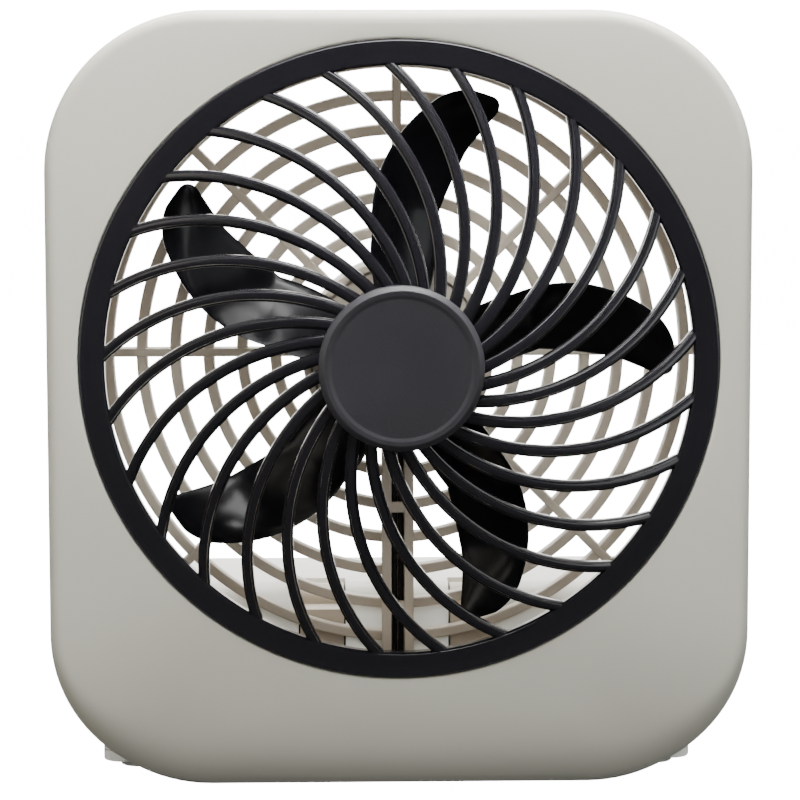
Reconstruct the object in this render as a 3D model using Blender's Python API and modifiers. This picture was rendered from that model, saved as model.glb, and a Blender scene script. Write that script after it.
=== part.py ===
"""A 5-inch battery desk fan: a rounded-square head hinged to a battery base that stands on the table.

Metres, +Z up. The fan faces -Y and stands on Z = 0, with the middle of its depth at Y = 0.
Head pieces are made in the head's own frame: origin on the fan axis in the plane of the bezel's
front, X right, Y up and Z towards the front. Base pieces are made in world coordinates.
"""

import math

import bmesh
import bpy
from mathutils import Matrix, Vector

GAP = 0.0003  # clearance between pieces that touch

# Head
HEAD_WIDTH = 0.162
HEAD_HEIGHT = 0.180
CORNER_RADIUS = 0.037
AXIS_ABOVE_BOTTOM = 0.100
HEAD_BOTTOM_Z = 0.001
BEZEL_Y = -0.030  # world Y of the bezel's front plane
PARTING = -0.015  # local Z of the joint between bezel and rear housing
REAR = -0.030  # local Z of the rear wall's outer face
WALL = 0.002
ARC_STEPS = 6
STRAIGHT_STEPS = 9

# Front grille
RING_OUTER = 0.0733
RING_INNER = 0.0673
SEAT_RADIUS = RING_OUTER + 0.0004  # the bezel's round opening, which holds the ring
SEAT_WALL = 0.0015
SEAT_REAR = -0.0110
SLAT_COUNT = 29
SLAT_ARC_RADIUS = 0.0520
SLAT_ARC_CENTRE = 0.0479  # from the fan axis
SLAT_PHASE = math.radians(92.1)
SLAT_HALF_WIDTH = 0.00115
SLAT_DEPTH = 0.0031
DOME_RISE = 0.0151
DOME_RADIUS = 0.1500
HUB_RADIUS = 0.0180
HUB_FRONT = 0.0141
HUB_REAR = 0.0105
BADGE_PEG = 0.0030
BADGE_RADIUS = 0.0186
BADGE_FRONT = 0.0170
TAB_ANGLES = [math.radians(a) for a in (38, 142, 218, 322)]

# Impeller
BLADE_COUNT = 5
BLADE_TIP = 0.0640
BLADE_THICKNESS = 0.0016
BLADE_PHASE = math.radians(2.2)
BLADE_CORNER = 0.0042
CUP_RADIUS = 0.0170
CUP_REAR = -0.0148

# Rear grille and motor pod
REAR_OPENING = 0.0735
RING_RADII = [0.0287 + 0.0079 * i for i in range(6)]
RING_WIDTH = 0.0028
RIB_WIDTH = 0.0024
GRILLE_FRONT = -0.0262
GRILLE_REAR = -0.0292
POD_RADIUS = 0.0223
POD_FRONT = -0.0160
POD_REAR = -0.0381
POD_WALL = 0.0018
MOTOR_RADIUS = 0.0160
CAN_REAR = -0.0315
SHAFT_RADIUS = 0.0010
SHAFT_BORE = SHAFT_RADIUS + GAP
RETAINER_SCREW_X = 0.0186
CHANNEL_HALF = 0.0015  # half of the wire channel's inner width
CHANNEL_OUTER = 0.00375
CHANNEL_FRONT = -0.0220

# Fasteners between bezel and rear housing, in the head's frame
HEAD_SCREWS = {
    "top_left": (-0.064, 0.062),
    "top_right": (0.064, 0.062),
    "bottom_left": (-0.064, -0.084),
    "bottom_right": (0.064, -0.084),
}

# Base, in world coordinates
BASE_HALF = 0.071
BASE_FRONT_Y = 0.0013
BASE_REAR_Y = 0.0470
SHELL_BOTTOM_Z = 0.0043
BASE_TOP_Z = 0.0445
BASE_ROUND = 0.0047
PLATE_BOTTOM_Z = 0.0014
PLATE_TOP_Z = 0.0040
DOOR_HALF = 0.0560
DOOR_FRONT_Y = 0.0068
FOOT_X = 0.0625
FOOT_YS = (0.0068, 0.0415)
BASE_SCREW_X = 0.0666
BASE_SCREW_YS = (0.0140, 0.0345)

# Hinge: its axis is the centre of the base's rounded upper front edge
PIVOT_Y = BASE_FRONT_Y + BASE_ROUND
PIVOT_Z = BASE_TOP_Z - BASE_ROUND
PIN_RADIUS = 0.0015
PIN_HALF = 0.0270
LUG_X = 0.0180
LUG_HALF = 0.00525
LUG_BARREL = 0.0043
SLOT_HALF = 0.00565
SLOT_REAR_Y = PIVOT_Y + 0.0049
SLOT_BOTTOM_Z = 0.0240
WIRE_PASS_Z = 0.0240
WIRE_PASS = 0.0021  # radius of the holes that let the wires through

# Batteries: two D cells end to end
CELL_RADIUS = 0.0168
CELL_LENGTH = 0.0602
NUB_LENGTH = 0.0013
CELL_Y = 0.0276
CELL_Z = 0.0211
SPRING_TURNS = 3
SPRING_STEPS = 10  # in each turn

# Switch and DC inlet
SWITCH_Y = 0.0230
SWITCH_Z = 0.0275
KNOB_TRAVEL = 0.0025
JACK_Y = 0.0110
JACK_Z = 0.0340
JACK_HALF = 0.0042
WIRE_RADIUS = 0.0006

AXIS_Z = HEAD_BOTTOM_Z + AXIS_ABOVE_BOTTOM
PIVOT_LOCAL = Vector((0, PIVOT_Z - AXIS_Z, BEZEL_Y - PIVOT_Y))
ALONG_X = Matrix.Rotation(math.radians(90), 4, "Y")
ALONG_Y = Matrix.Rotation(math.radians(-90), 4, "X")


# ---------------------------------------------------------------- scene and helpers


def clear_scene():
    for obj in list(bpy.data.objects):
        bpy.data.objects.remove(obj, do_unlink=True)


def new_collection(name, hidden=False):
    collection = bpy.data.collections.new(name)
    collection.hide_render = hidden
    bpy.context.scene.collection.children.link(collection)
    return collection


clear_scene()
PARTS = new_collection("battery_desk_fan")
CUTTERS = new_collection("cutters", hidden=True)


def empty(name, location, parent=None, rotation=(0, 0, 0)):
    obj = bpy.data.objects.new(name, None)
    obj.location = location
    obj.rotation_euler = rotation
    obj.parent = parent
    PARTS.objects.link(obj)
    return obj


HEAD_PIVOT = empty("head_pivot", (0, PIVOT_Y, PIVOT_Z))
HEAD = empty("head_frame", (0, BEZEL_Y - PIVOT_Y, AXIS_Z - PIVOT_Z), HEAD_PIVOT, (math.pi / 2, 0, 0))
SPIN = empty("impeller_axis", (0, 0, 0), HEAD)
KNOB = empty("knob_slide", (BASE_HALF, SWITCH_Y, SWITCH_Z))
DOOR = empty("door_slide", (0, DOOR_FRONT_Y, PLATE_BOTTOM_Z))


def material(name, colour, roughness, metallic=0.0):
    made = bpy.data.materials.new(name)
    made.use_nodes = True
    shader = made.node_tree.nodes["Principled BSDF"]
    shader.inputs["Base Color"].default_value = (*colour, 1)
    shader.inputs["Roughness"].default_value = roughness
    shader.inputs["Metallic"].default_value = metallic
    return made


BEZEL_PLASTIC = material("bezel_plastic", (0.62, 0.60, 0.56), 0.45)
BLACK_PLASTIC = material("black_plastic", (0.022, 0.021, 0.026), 0.35)
GLOSS_BLACK = material("gloss_black", (0.012, 0.012, 0.016), 0.12)
REAR_PLASTIC = material("rear_plastic", (0.42, 0.39, 0.34), 0.5)
BASE_PLASTIC = material("base_plastic", (0.66, 0.66, 0.61), 0.45)
STEEL = material("steel", (0.55, 0.55, 0.56), 0.3, 1.0)
ZINC = material("zinc", (0.68, 0.69, 0.70), 0.35, 1.0)
BRASS = material("brass", (0.66, 0.48, 0.20), 0.3, 1.0)
COPPER = material("copper", (0.72, 0.36, 0.20), 0.35, 1.0)
FERRITE = material("ferrite", (0.06, 0.06, 0.065), 0.7)
RUBBER = material("rubber", (0.05, 0.05, 0.05), 0.8)
CELL_SLEEVE = material("cell_sleeve", (0.10, 0.12, 0.20), 0.3)
WIRE_BLACK = material("wire_black", (0.015, 0.015, 0.015), 0.4)
NYLON = material("nylon", (0.75, 0.74, 0.70), 0.5)
CERAMIC = material("ceramic", (0.50, 0.42, 0.33), 0.7)


def finish(obj, made_of, parent, helper=False):
    """Gives an object its material, its parent and its collection; a helper is only cut or joined with."""
    if made_of:
        obj.data.materials.append(made_of)
    obj.parent = parent
    if helper:
        obj.hide_render = True
        obj.display_type = "WIRE"
    (CUTTERS if helper else PARTS).objects.link(obj)
    return obj


def mesh_object(name, bm, made_of=None, parent=None, placed=None):
    """An object from a bmesh, moved by the matrix placed; without a material it is a helper."""
    if placed:
        bmesh.ops.transform(bm, matrix=placed, verts=bm.verts)
    bmesh.ops.recalc_face_normals(bm, faces=bm.faces)
    mesh = bpy.data.meshes.new(name)
    bm.to_mesh(mesh)
    bm.free()
    return finish(bpy.data.objects.new(name, mesh), made_of, parent, helper=made_of is None)


def smooth(obj, degrees=35):
    obj.data.shade_smooth()
    obj.data.set_sharp_from_angle(angle=math.radians(degrees))


def box_into(bm, low, high):
    size = Vector(high) - Vector(low)
    middle = (Vector(high) + Vector(low)) / 2
    matrix = Matrix.Translation(middle) @ Matrix.Diagonal((*size, 1))
    return bmesh.ops.create_cube(bm, size=1, matrix=matrix)


def box(name, low, high, made_of=None, parent=None, placed=None):
    bm = bmesh.new()
    box_into(bm, low, high)
    return mesh_object(name, bm, made_of, parent, placed)


def cylinder_into(bm, radius, low, high, matrix=Matrix(), sides=20):
    """A cylinder along Z from low to high, then moved by the matrix."""
    placed = matrix @ Matrix.Translation((0, 0, (low + high) / 2))
    bmesh.ops.create_cone(
        bm, cap_ends=True, segments=sides, radius1=radius, radius2=radius, depth=high - low, matrix=placed
    )


def cylinder(name, radius, low, high, made_of=None, parent=None, matrix=Matrix(), sides=20):
    bm = bmesh.new()
    cylinder_into(bm, radius, low, high, matrix, sides)
    obj = mesh_object(name, bm, made_of, parent)
    if made_of:
        smooth(obj)
    return obj


def turned(name, profile, made_of=None, parent=None, steps=32, ring=False, placed=None):
    """Turns (radius, height) points, which run down the outer side, about Z. A ring closes on itself."""
    mesh = bpy.data.meshes.new(name)
    edges = [(i, i + 1) for i in range(len(profile) - 1)]
    if ring:
        edges.append((len(profile) - 1, 0))
    mesh.from_pydata([(radius, 0, height) for radius, height in profile], edges, [])
    obj = finish(bpy.data.objects.new(name, mesh), made_of, parent, helper=made_of is None)
    if placed:
        obj.matrix_local = placed
    screw = obj.modifiers.new("turn", "SCREW")
    screw.steps = screw.render_steps = steps
    screw.use_merge_vertices = True
    screw.merge_threshold = 0.00001
    graph = bpy.context.evaluated_depsgraph_get()
    obj.data = bpy.data.meshes.new_from_object(obj.evaluated_get(graph))
    obj.modifiers.clear()
    smooth(obj)
    return obj


def tube_profile(outer, inner, top, bottom):
    return [(inner, top), (outer, top), (outer, bottom), (inner, bottom)]


def boolean(obj, operation, other):
    step = obj.modifiers.new(other.name, "BOOLEAN")
    step.operation = operation
    step.object = other


def cut(obj, other):
    boolean(obj, "DIFFERENCE", other)


def join(obj, other):
    boolean(obj, "UNION", other)


def curve_object(name, runs, radius, made_of=None, parent=None, extrude=0.0, resolution=2):
    """A curve of straight runs through points. Its section is round, or taller where it is extruded."""
    curve = bpy.data.curves.new(name, "CURVE")
    curve.dimensions = "3D"
    curve.twist_mode = "Z_UP"
    curve.bevel_depth = radius
    curve.bevel_resolution = resolution
    curve.extrude = extrude
    curve.use_fill_caps = True
    for points in runs:
        spline = curve.splines.new("POLY")
        spline.points.add(len(points) - 1)
        for point, place in zip(spline.points, points):
            point.co = (*place, 1)
    return finish(bpy.data.objects.new(name, curve), made_of, parent, helper=made_of is None)


def curve_to_mesh(source):
    """Replaces a helper curve by a closed mesh, so that a Boolean can take it."""
    graph = bpy.context.evaluated_depsgraph_get()
    mesh = bpy.data.meshes.new_from_object(source.evaluated_get(graph))
    bm = bmesh.new()
    bm.from_mesh(mesh)
    bmesh.ops.remove_doubles(bm, verts=bm.verts, dist=0.00001)
    bpy.data.meshes.remove(mesh)
    name, parent = source.name, source.parent
    bpy.data.objects.remove(source)
    return mesh_object(name, bm, parent=parent)


# ---------------------------------------------------------------- the head's outline


def outline(inset):
    """The head's rounded rectangle, set in by inset, as (x, y) about the fan axis, anticlockwise."""
    across = HEAD_WIDTH / 2 - CORNER_RADIUS
    up = HEAD_HEIGHT - AXIS_ABOVE_BOTTOM - CORNER_RADIUS
    down = CORNER_RADIUS - AXIS_ABOVE_BOTTOM
    centres = ((across, down), (across, up), (-across, up), (-across, down))
    radius = CORNER_RADIUS - inset
    points = []
    for corner, (x, y) in enumerate(centres):
        for step in range(ARC_STEPS + 1):
            angle = math.radians(90) * (corner - 1 + step / ARC_STEPS)
            points.append(Vector((x + radius * math.cos(angle), y + radius * math.sin(angle))))
        next_x, next_y = centres[(corner + 1) % 4]
        turn = math.radians(90) * corner
        side = Vector((radius * math.cos(turn), radius * math.sin(turn)))
        for step in range(1, STRAIGHT_STEPS):
            points.append(Vector((x, y)).lerp(Vector((next_x, next_y)), step / STRAIGHT_STEPS) + side)
    return points


def square_loop(inset, z):
    return [(*point, z) for point in outline(inset)]


def round_loop(radius, z):
    """A circle with one point on each ray of the outline, so that the two can be joined face by face."""
    return [(*(point.normalized() * radius), z) for point in outline(0)]


def shell(name, loops, made_of, parent):
    """A closed skin through loops of equal length, back to the first: the section of a hollow frame."""
    bm = bmesh.new()
    rows = [[bm.verts.new(point) for point in loop] for loop in loops]
    for row, after in zip(rows, rows[1:] + rows[:1]):
        for i in range(len(row)):
            j = (i + 1) % len(row)
            bm.faces.new((row[i], row[j], after[j], after[i]))
    obj = mesh_object(name, bm, made_of, parent)
    smooth(obj)
    return obj


# ---------------------------------------------------------------- head pieces


def make_bezel():
    loops = [
        round_loop(SEAT_RADIUS, SEAT_REAR),
        round_loop(SEAT_RADIUS, -0.0010),
        square_loop(0.0032, 0),
        square_loop(0.0010, -0.0010),
        square_loop(0.0003, -0.0033),
        square_loop(0, PARTING + GAP / 2),
        square_loop(WALL, PARTING + GAP / 2),
        square_loop(WALL + 0.0002, -0.0036),
        square_loop(0.0034, -0.0021),
        round_loop(SEAT_RADIUS + SEAT_WALL, -0.0029),
        round_loop(SEAT_RADIUS + SEAT_WALL, SEAT_REAR),
    ]
    bezel = shell("front_bezel", loops, BEZEL_PLASTIC, HEAD)
    bosses = bmesh.new()
    holes = bmesh.new()
    for x, y in HEAD_SCREWS.values():
        at = Matrix.Translation((x, y, 0))
        cylinder_into(bosses, 0.0034, -0.0167, -0.0012, at, 14)
        cylinder_into(holes, 0.0016, -0.0177, -0.0060, at, 12)
    join(bezel, mesh_object("bezel_bosses", bosses, parent=HEAD))
    cut(bezel, mesh_object("bezel_boss_holes", holes, parent=HEAD))


def slat_points(index, inner, outer, steps=5):
    """One slat's middle line: a circular arc seen from the front, lying just under the dome."""
    points = []
    for step in range(steps + 1):
        radius = inner + (outer - inner) * step / steps
        cosine = (radius**2 + SLAT_ARC_CENTRE**2 - SLAT_ARC_RADIUS**2) / (2 * radius * SLAT_ARC_CENTRE)
        angle = SLAT_PHASE + math.tau * index / SLAT_COUNT - math.acos(cosine)
        height = DOME_RISE - radius**2 / (2 * DOME_RADIUS) - SLAT_DEPTH / 2
        points.append((radius * math.cos(angle), radius * math.sin(angle), height))
    return points


def make_front_grille():
    profile = [
        (RING_INNER, -0.0006), (RING_INNER + 0.0007, 0), (RING_OUTER - 0.0007, -0.0002),
        (RING_OUTER, -0.0009), (RING_OUTER, -0.0050), (RING_INNER, -0.0034),
    ]
    grille = turned("front_grille", profile, BLACK_PLASTIC, HEAD, steps=2 * SLAT_COUNT, ring=True)
    hub = [
        (BADGE_PEG + GAP, HUB_FRONT), (HUB_RADIUS - 0.0005, HUB_FRONT), (HUB_RADIUS, HUB_FRONT - 0.0005),
        (HUB_RADIUS, HUB_REAR), (BADGE_PEG + GAP, HUB_REAR),
    ]
    join(grille, turned("grille_hub", hub, parent=HEAD, steps=SLAT_COUNT, ring=True))
    slats = curve_object(
        "grille_slats",
        [slat_points(index, HUB_RADIUS - 0.0015, RING_INNER + 0.0012) for index in range(SLAT_COUNT)],
        SLAT_HALF_WIDTH,
        parent=HEAD,
        extrude=SLAT_DEPTH / 2 - SLAT_HALF_WIDTH,
        resolution=0,
    )
    join(grille, curve_to_mesh(slats))
    tabs = bmesh.new()
    barbs = bmesh.new()
    for angle in TAB_ANGLES:
        turn = Matrix.Rotation(angle, 4, "Z")
        for bm, low, high in (
            (tabs, (0.0713, -0.0040, -0.0128), (0.0731, 0.0040, -0.0045)),
            (barbs, (0.0722, -0.0035, -0.0127), (0.0746, 0.0035, -0.0113)),
        ):
            made = box_into(bm, low, high)
            bmesh.ops.transform(bm, matrix=turn, verts=made["verts"])
    join(grille, mesh_object("grille_tabs", tabs, parent=HEAD))
    join(grille, mesh_object("grille_barbs", barbs, parent=HEAD))


def make_badge():
    profile = [
        (0, BADGE_FRONT), (BADGE_RADIUS - 0.0012, BADGE_FRONT),
        (BADGE_RADIUS - 0.0003, BADGE_FRONT - 0.0004), (BADGE_RADIUS, BADGE_FRONT - 0.0011),
        (BADGE_RADIUS, HUB_FRONT + GAP), (BADGE_PEG, HUB_FRONT + GAP),
        (BADGE_PEG, HUB_REAR + GAP), (0, HUB_REAR + GAP),
    ]
    turned("grille_badge", profile, BLACK_PLASTIC, HEAD, steps=28)


def blade_lead(radius):
    """Angle of the blade's straighter edge, from its own direction: it runs wide at the root and tip."""
    tip, root = max(radius - 0.050, 0), max(0.033 - radius, 0)
    return math.radians(-160 * max(radius - 0.033, 0) - 190 * tip - 600 * root)


def blade_trail(radius):
    """Angle of the blade's curved edge, which sweeps in towards the tip."""
    root = max(0.030 - radius, 0)
    return math.radians(28.6 - 20.8 * (max(radius - 0.025, 0) / 0.035) ** 1.7 + 500 * root)


def blade_into(bm, turn):
    """One sickle blade as a grid bent to its outline and its pitch; Solidify makes it thick."""
    root = CUP_RADIUS - 0.0007
    made = bmesh.ops.create_grid(bm, x_segments=8, y_segments=3, size=1)
    for vert in made["verts"]:
        along = math.sin(math.radians(45) * (vert.co.x + 1))
        radius = root + (BLADE_TIP - root) * along
        across = (vert.co.y + 1) / 2
        past = max(radius - (BLADE_TIP - BLADE_CORNER), 0) / BLADE_CORNER
        rounding = BLADE_CORNER * (1 - math.sqrt(max(1 - past**2, 0))) / radius
        lead = blade_lead(radius) + rounding
        trail = blade_trail(radius) - rounding
        angle = BLADE_PHASE + turn + lead + (trail - lead) * across
        outwards = (radius - root) / (BLADE_TIP - root)
        rear = -0.0120 - 0.0260 * outwards * (1.0 - outwards)
        front = -0.0030 - 0.0080 * outwards
        vert.co = (radius * math.cos(angle), radius * math.sin(angle), rear + (front - rear) * across)


def make_impeller():
    profile = [
        (0, 0.0075), (0.0080, 0.0071), (0.0145, 0.0056), (CUP_RADIUS, 0.0025), (CUP_RADIUS, CUP_REAR),
        (CUP_RADIUS - 0.0016, CUP_REAR), (CUP_RADIUS - 0.0016, 0.0020), (0.0036, 0.0042),
        (0.0036, -0.0130), (SHAFT_BORE, -0.0130), (SHAFT_BORE, 0.0034), (0, 0.0034),
    ]
    impeller = turned("impeller", profile, GLOSS_BLACK, SPIN, steps=28)
    blades = bmesh.new()
    for index in range(BLADE_COUNT):
        blade_into(blades, math.tau * index / BLADE_COUNT)
    blades = mesh_object("impeller_blades", blades, parent=SPIN)
    thick = blades.modifiers.new("thickness", "SOLIDIFY")
    thick.thickness = BLADE_THICKNESS
    thick.offset = 0
    join(impeller, blades)


def make_rear_housing():
    loops = [
        square_loop(0, PARTING - GAP / 2),
        square_loop(0.0010, -0.0260),
        square_loop(0.0044, REAR),
        round_loop(REAR_OPENING, REAR),
        round_loop(REAR_OPENING, REAR + WALL),
        square_loop(0.0049, REAR + WALL),
        square_loop(0.0026, -0.0245),
        square_loop(0.0034, -0.0160),
        square_loop(0.0034, -0.0128),
        square_loop(WALL + 0.0004, -0.0128),
        square_loop(WALL + 0.0004, PARTING - GAP / 2),
    ]
    housing = shell("rear_housing", loops, REAR_PLASTIC, HEAD)

    for number, radius in enumerate(RING_RADII, 1):
        section = tube_profile(radius + RING_WIDTH / 2, radius - RING_WIDTH / 2, GRILLE_FRONT, GRILLE_REAR)
        steps = 28 if number <= 3 else 40
        join(housing, turned(f"rear_ring_{number}", section, parent=HEAD, steps=steps, ring=True))

    ribs = bmesh.new()
    for eighth in range(8):
        if eighth == 6:  # straight down, where the wire channel takes the rib's place
            continue
        made = box_into(
            ribs,
            (POD_RADIUS - 0.0010, -RIB_WIDTH / 2, GRILLE_REAR - 0.0002),
            (REAR_OPENING + 0.0010, RIB_WIDTH / 2, GRILLE_FRONT + 0.0003),
        )
        turn = Matrix.Rotation(math.radians(45) * eighth, 4, "Z")
        bmesh.ops.transform(ribs, matrix=turn, verts=made["verts"])
    join(housing, mesh_object("rear_ribs", ribs, parent=HEAD))

    add_pod(housing)
    add_channel(housing)
    add_screw_bosses(housing)
    add_lugs(housing)


def add_pod(housing):
    """The cup that holds the motor, open at the front, with four centring ribs and two screw bosses."""
    inner = POD_RADIUS - POD_WALL
    profile = [
        (0, POD_REAR + POD_WALL), (inner, POD_REAR + POD_WALL), (inner, POD_FRONT), (POD_RADIUS, POD_FRONT),
        (POD_RADIUS, POD_REAR + 0.0020), (POD_RADIUS - 0.0020, POD_REAR), (0, POD_REAR),
    ]
    join(housing, turned("motor_pod", profile, parent=HEAD, steps=32))
    inside = bmesh.new()
    for quarter in range(4):
        low = (MOTOR_RADIUS + GAP, -0.0010, POD_REAR + 0.0010)
        made = box_into(inside, low, (inner + 0.0005, 0.0010, -0.0185))
        turn = Matrix.Rotation(math.radians(45 + 90 * quarter), 4, "Z")
        bmesh.ops.transform(inside, matrix=turn, verts=made["verts"])
    for side in (-1, 1):
        at = Matrix.Translation((side * RETAINER_SCREW_X, 0, 0))
        cylinder_into(inside, 0.0023, POD_REAR + 0.0010, -0.0181, at, 12)
    join(housing, mesh_object("pod_inside", inside, parent=HEAD))
    pilots = bmesh.new()
    for side in (-1, 1):
        at = Matrix.Translation((side * RETAINER_SCREW_X, 0, 0))
        cylinder_into(pilots, 0.0011, -0.0270, -0.0170, at, 10)
    cut(housing, mesh_object("pod_pilots", pilots, parent=HEAD))
    notch = box("pod_wire_notch", (-0.0016, -0.0240, -0.0275), (0.0016, -0.0190, -0.0215), parent=HEAD)
    cut(housing, notch)


def add_channel(housing):
    """The rib that points down is a channel for the motor wires, with two bridges that hold them in."""
    walls = bmesh.new()
    end = -(REAR_OPENING + 0.0080)
    for side in (-1, 1):
        near, far = sorted((side * CHANNEL_HALF, side * CHANNEL_OUTER))
        low, high = (near, end - 0.0003, GRILLE_REAR + 0.0001), (far, -POD_RADIUS + 0.0010, CHANNEL_FRONT)
        box_into(walls, low, high)
    join(housing, mesh_object("channel_walls", walls, parent=HEAD))
    floor = bmesh.new()
    box_into(floor, (-0.0020, end, GRILLE_REAR - 0.0001), (0.0020, -POD_RADIUS + 0.0012, -0.0277))
    for middle in (RING_RADII[1], RING_RADII[4]):
        low = (-0.0020, -middle - 0.0013, -0.0234)
        box_into(floor, low, (0.0020, -middle + 0.0013, CHANNEL_FRONT - 0.0002))
    join(housing, mesh_object("channel_floor", floor, parent=HEAD))
    pass_at = Matrix.Translation((0, WIRE_PASS_Z - AXIS_Z, 0))
    hole = cylinder("head_wire_pass", WIRE_PASS, -0.0310, -0.0270, parent=HEAD, matrix=pass_at, sides=15)
    cut(housing, hole)


def add_screw_bosses(housing):
    bosses = bmesh.new()
    holes = bmesh.new()
    counterbores = bmesh.new()
    for x, y in HEAD_SCREWS.values():
        at = Matrix.Translation((x, y, 0))
        cylinder_into(bosses, 0.0040, -0.0287, -0.0170, at, 16)
        cylinder_into(holes, 0.0016, -0.0270, -0.0160, at, 12)
        cylinder_into(counterbores, 0.0030, -0.0310, -0.0260, at, 16)
    join(housing, mesh_object("housing_bosses", bosses, parent=HEAD))
    cut(housing, mesh_object("housing_boss_holes", holes, parent=HEAD))
    cut(housing, mesh_object("housing_counterbores", counterbores, parent=HEAD))


def add_lugs(housing):
    arms = bmesh.new()
    barrels = bmesh.new()
    low_y = SLOT_BOTTOM_Z + 0.0004 - AXIS_Z
    for side in (-1, 1):
        left, right = side * LUG_X - LUG_HALF + 0.0001, side * LUG_X + LUG_HALF - 0.0001
        low = (left, low_y, PIVOT_LOCAL.z - 0.0014)
        box_into(arms, low, (right, PIVOT_LOCAL.y + 0.0004, REAR + 0.0006))
        at = Matrix.Translation((side * LUG_X, PIVOT_LOCAL.y, PIVOT_LOCAL.z)) @ ALONG_X
        cylinder_into(barrels, LUG_BARREL, -LUG_HALF, LUG_HALF, at, 20)
    join(housing, mesh_object("lug_arms", arms, parent=HEAD))
    join(housing, mesh_object("lug_barrels", barrels, parent=HEAD))
    at = Matrix.Translation(PIVOT_LOCAL) @ ALONG_X
    cut(housing, cylinder("lug_bore", PIN_RADIUS + GAP, -0.03, 0.03, parent=HEAD, matrix=at, sides=16))


def make_head_screws():
    for place, (x, y) in HEAD_SCREWS.items():
        profile = [
            (0, -0.0080), (0.0013, -0.0080), (0.0013, -0.0263), (0.0027, -0.0263), (0.0027, -0.0278),
            (0.0020, -0.0282), (0, -0.0282),
        ]
        turned(f"head_screw_{place}", profile, ZINC, HEAD, steps=14, placed=Matrix.Translation((x, y, 0)))


# ---------------------------------------------------------------- motor


def make_motor():
    make_motor_can()
    make_magnets_and_brushes()
    make_rotor()
    profile = tube_profile(POD_RADIUS - POD_WALL - GAP, 0.0031, -0.0166, -0.0178)
    retainer = turned("motor_retainer", profile, REAR_PLASTIC, HEAD, steps=24, ring=True)
    for side, name in ((-1, "left"), (1, "right")):
        at = Matrix.Translation((side * RETAINER_SCREW_X, 0, 0))
        hole = cylinder(f"retainer_hole_{name}", 0.0011, -0.02, -0.01, parent=HEAD, matrix=at, sides=10)
        cut(retainer, hole)
        screw = [
            (0, -0.0154), (0.0012, -0.0154), (0.0016, -0.0157), (0.0016, -0.0163), (0.0008, -0.0163),
            (0.0008, -0.0250), (0, -0.0250),
        ]
        turned(f"motor_screw_{name}", screw, ZINC, HEAD, steps=12, placed=at)


def make_motor_can():
    inner = MOTOR_RADIUS - 0.0008
    can = [
        (0.0030, -0.0181), (inner, -0.0181), (MOTOR_RADIUS, -0.0189), (MOTOR_RADIUS, CAN_REAR),
        (inner, CAN_REAR), (inner, -0.0190), (0.0030, -0.0190),
    ]
    turned("motor_can", can, ZINC, HEAD, steps=24, ring=True)
    section = tube_profile(0.0027, SHAFT_BORE, -0.0166, -0.0198)
    turned("motor_bushing_front", section, BRASS, HEAD, steps=12, ring=True)
    section = tube_profile(0.0026, SHAFT_BORE, -0.0317, -0.0345)
    turned("motor_bushing_rear", section, BRASS, HEAD, steps=12, ring=True)
    section = tube_profile(MOTOR_RADIUS, 0.0029, CAN_REAR - GAP, CAN_REAR - 0.0018)
    cap = turned("motor_end_cap", section, NYLON, HEAD, steps=24, ring=True)
    for side, name in ((-1, "left"), (1, "right")):
        middle = side * 0.0090
        low, high = (middle - 0.0011, -0.0019, -0.034), (middle + 0.0011, 0.0019, -0.031)
        cut(cap, box(f"terminal_slot_{name}", low, high, parent=HEAD))
        low, high = (middle - 0.0007, -0.0015, -0.0358), (middle + 0.0007, 0.0015, -0.0311)
        box(f"motor_terminal_{name}", low, high, BRASS, HEAD)


def make_magnets_and_brushes():
    """Two arc magnets inside the can, and two leaf brushes from the terminals to the commutator."""
    for side, name in ((-1, "left"), (1, "right")):
        section = tube_profile(0.0149, 0.0133, -0.0200, -0.0300)
        magnet = turned(f"motor_magnet_{name}", section, FERRITE, HEAD, 24, ring=True)
        near, far = sorted((side * 0.0060, side * 0.0200))
        keep = box(f"magnet_span_{name}", (near, -0.02, -0.04), (far, 0.02, -0.01), parent=HEAD)
        boolean(magnet, "INTERSECT", keep)
        near, far = sorted((side * 0.0035, side * 0.0118))
        box(f"motor_brush_{name}", (near, -0.0008, -0.0308), (far, 0.0008, -0.0302), COPPER, HEAD)


def make_rotor():
    cylinder("motor_shaft", SHAFT_RADIUS, -0.0340, 0.0031, STEEL, SPIN, sides=12)
    section = tube_profile(0.0126, SHAFT_BORE, -0.0205, -0.0285)
    turned("armature_core", section, STEEL, SPIN, steps=24, ring=True)
    section = tube_profile(0.0032, SHAFT_BORE, -0.0289, -0.0313)
    turned("commutator", section, COPPER, SPIN, steps=14, ring=True)


def make_motor_wires():
    """From each terminal round the end of the can, out of the pod and down the channel to the rear wall."""
    exit_y = WIRE_PASS_Z - AXIS_Z
    for side, name in ((-1, "left"), (1, "right")):
        x = side * 0.00075
        points = [
            (side * 0.0090, -0.0025, -0.0350), (side * 0.0075, -0.0070, -0.0351),
            (side * 0.0035, -0.0140, -0.0350), (x * 1.2, -0.0170, -0.0340), (x, -0.0183, -0.0315),
            (x, -0.0186, -0.0270), (x, -0.0200, -0.0250), (x, -0.0230, -0.0247),
            (x, exit_y + 0.0030, -0.0250), (x, exit_y + 0.0010, -0.0256), (x, exit_y, -0.0272),
            (x, exit_y, -0.0297),
        ]
        curve_object(f"motor_wire_{name}", [points], WIRE_RADIUS, WIRE_BLACK, HEAD, resolution=1)


# ---------------------------------------------------------------- base


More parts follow.
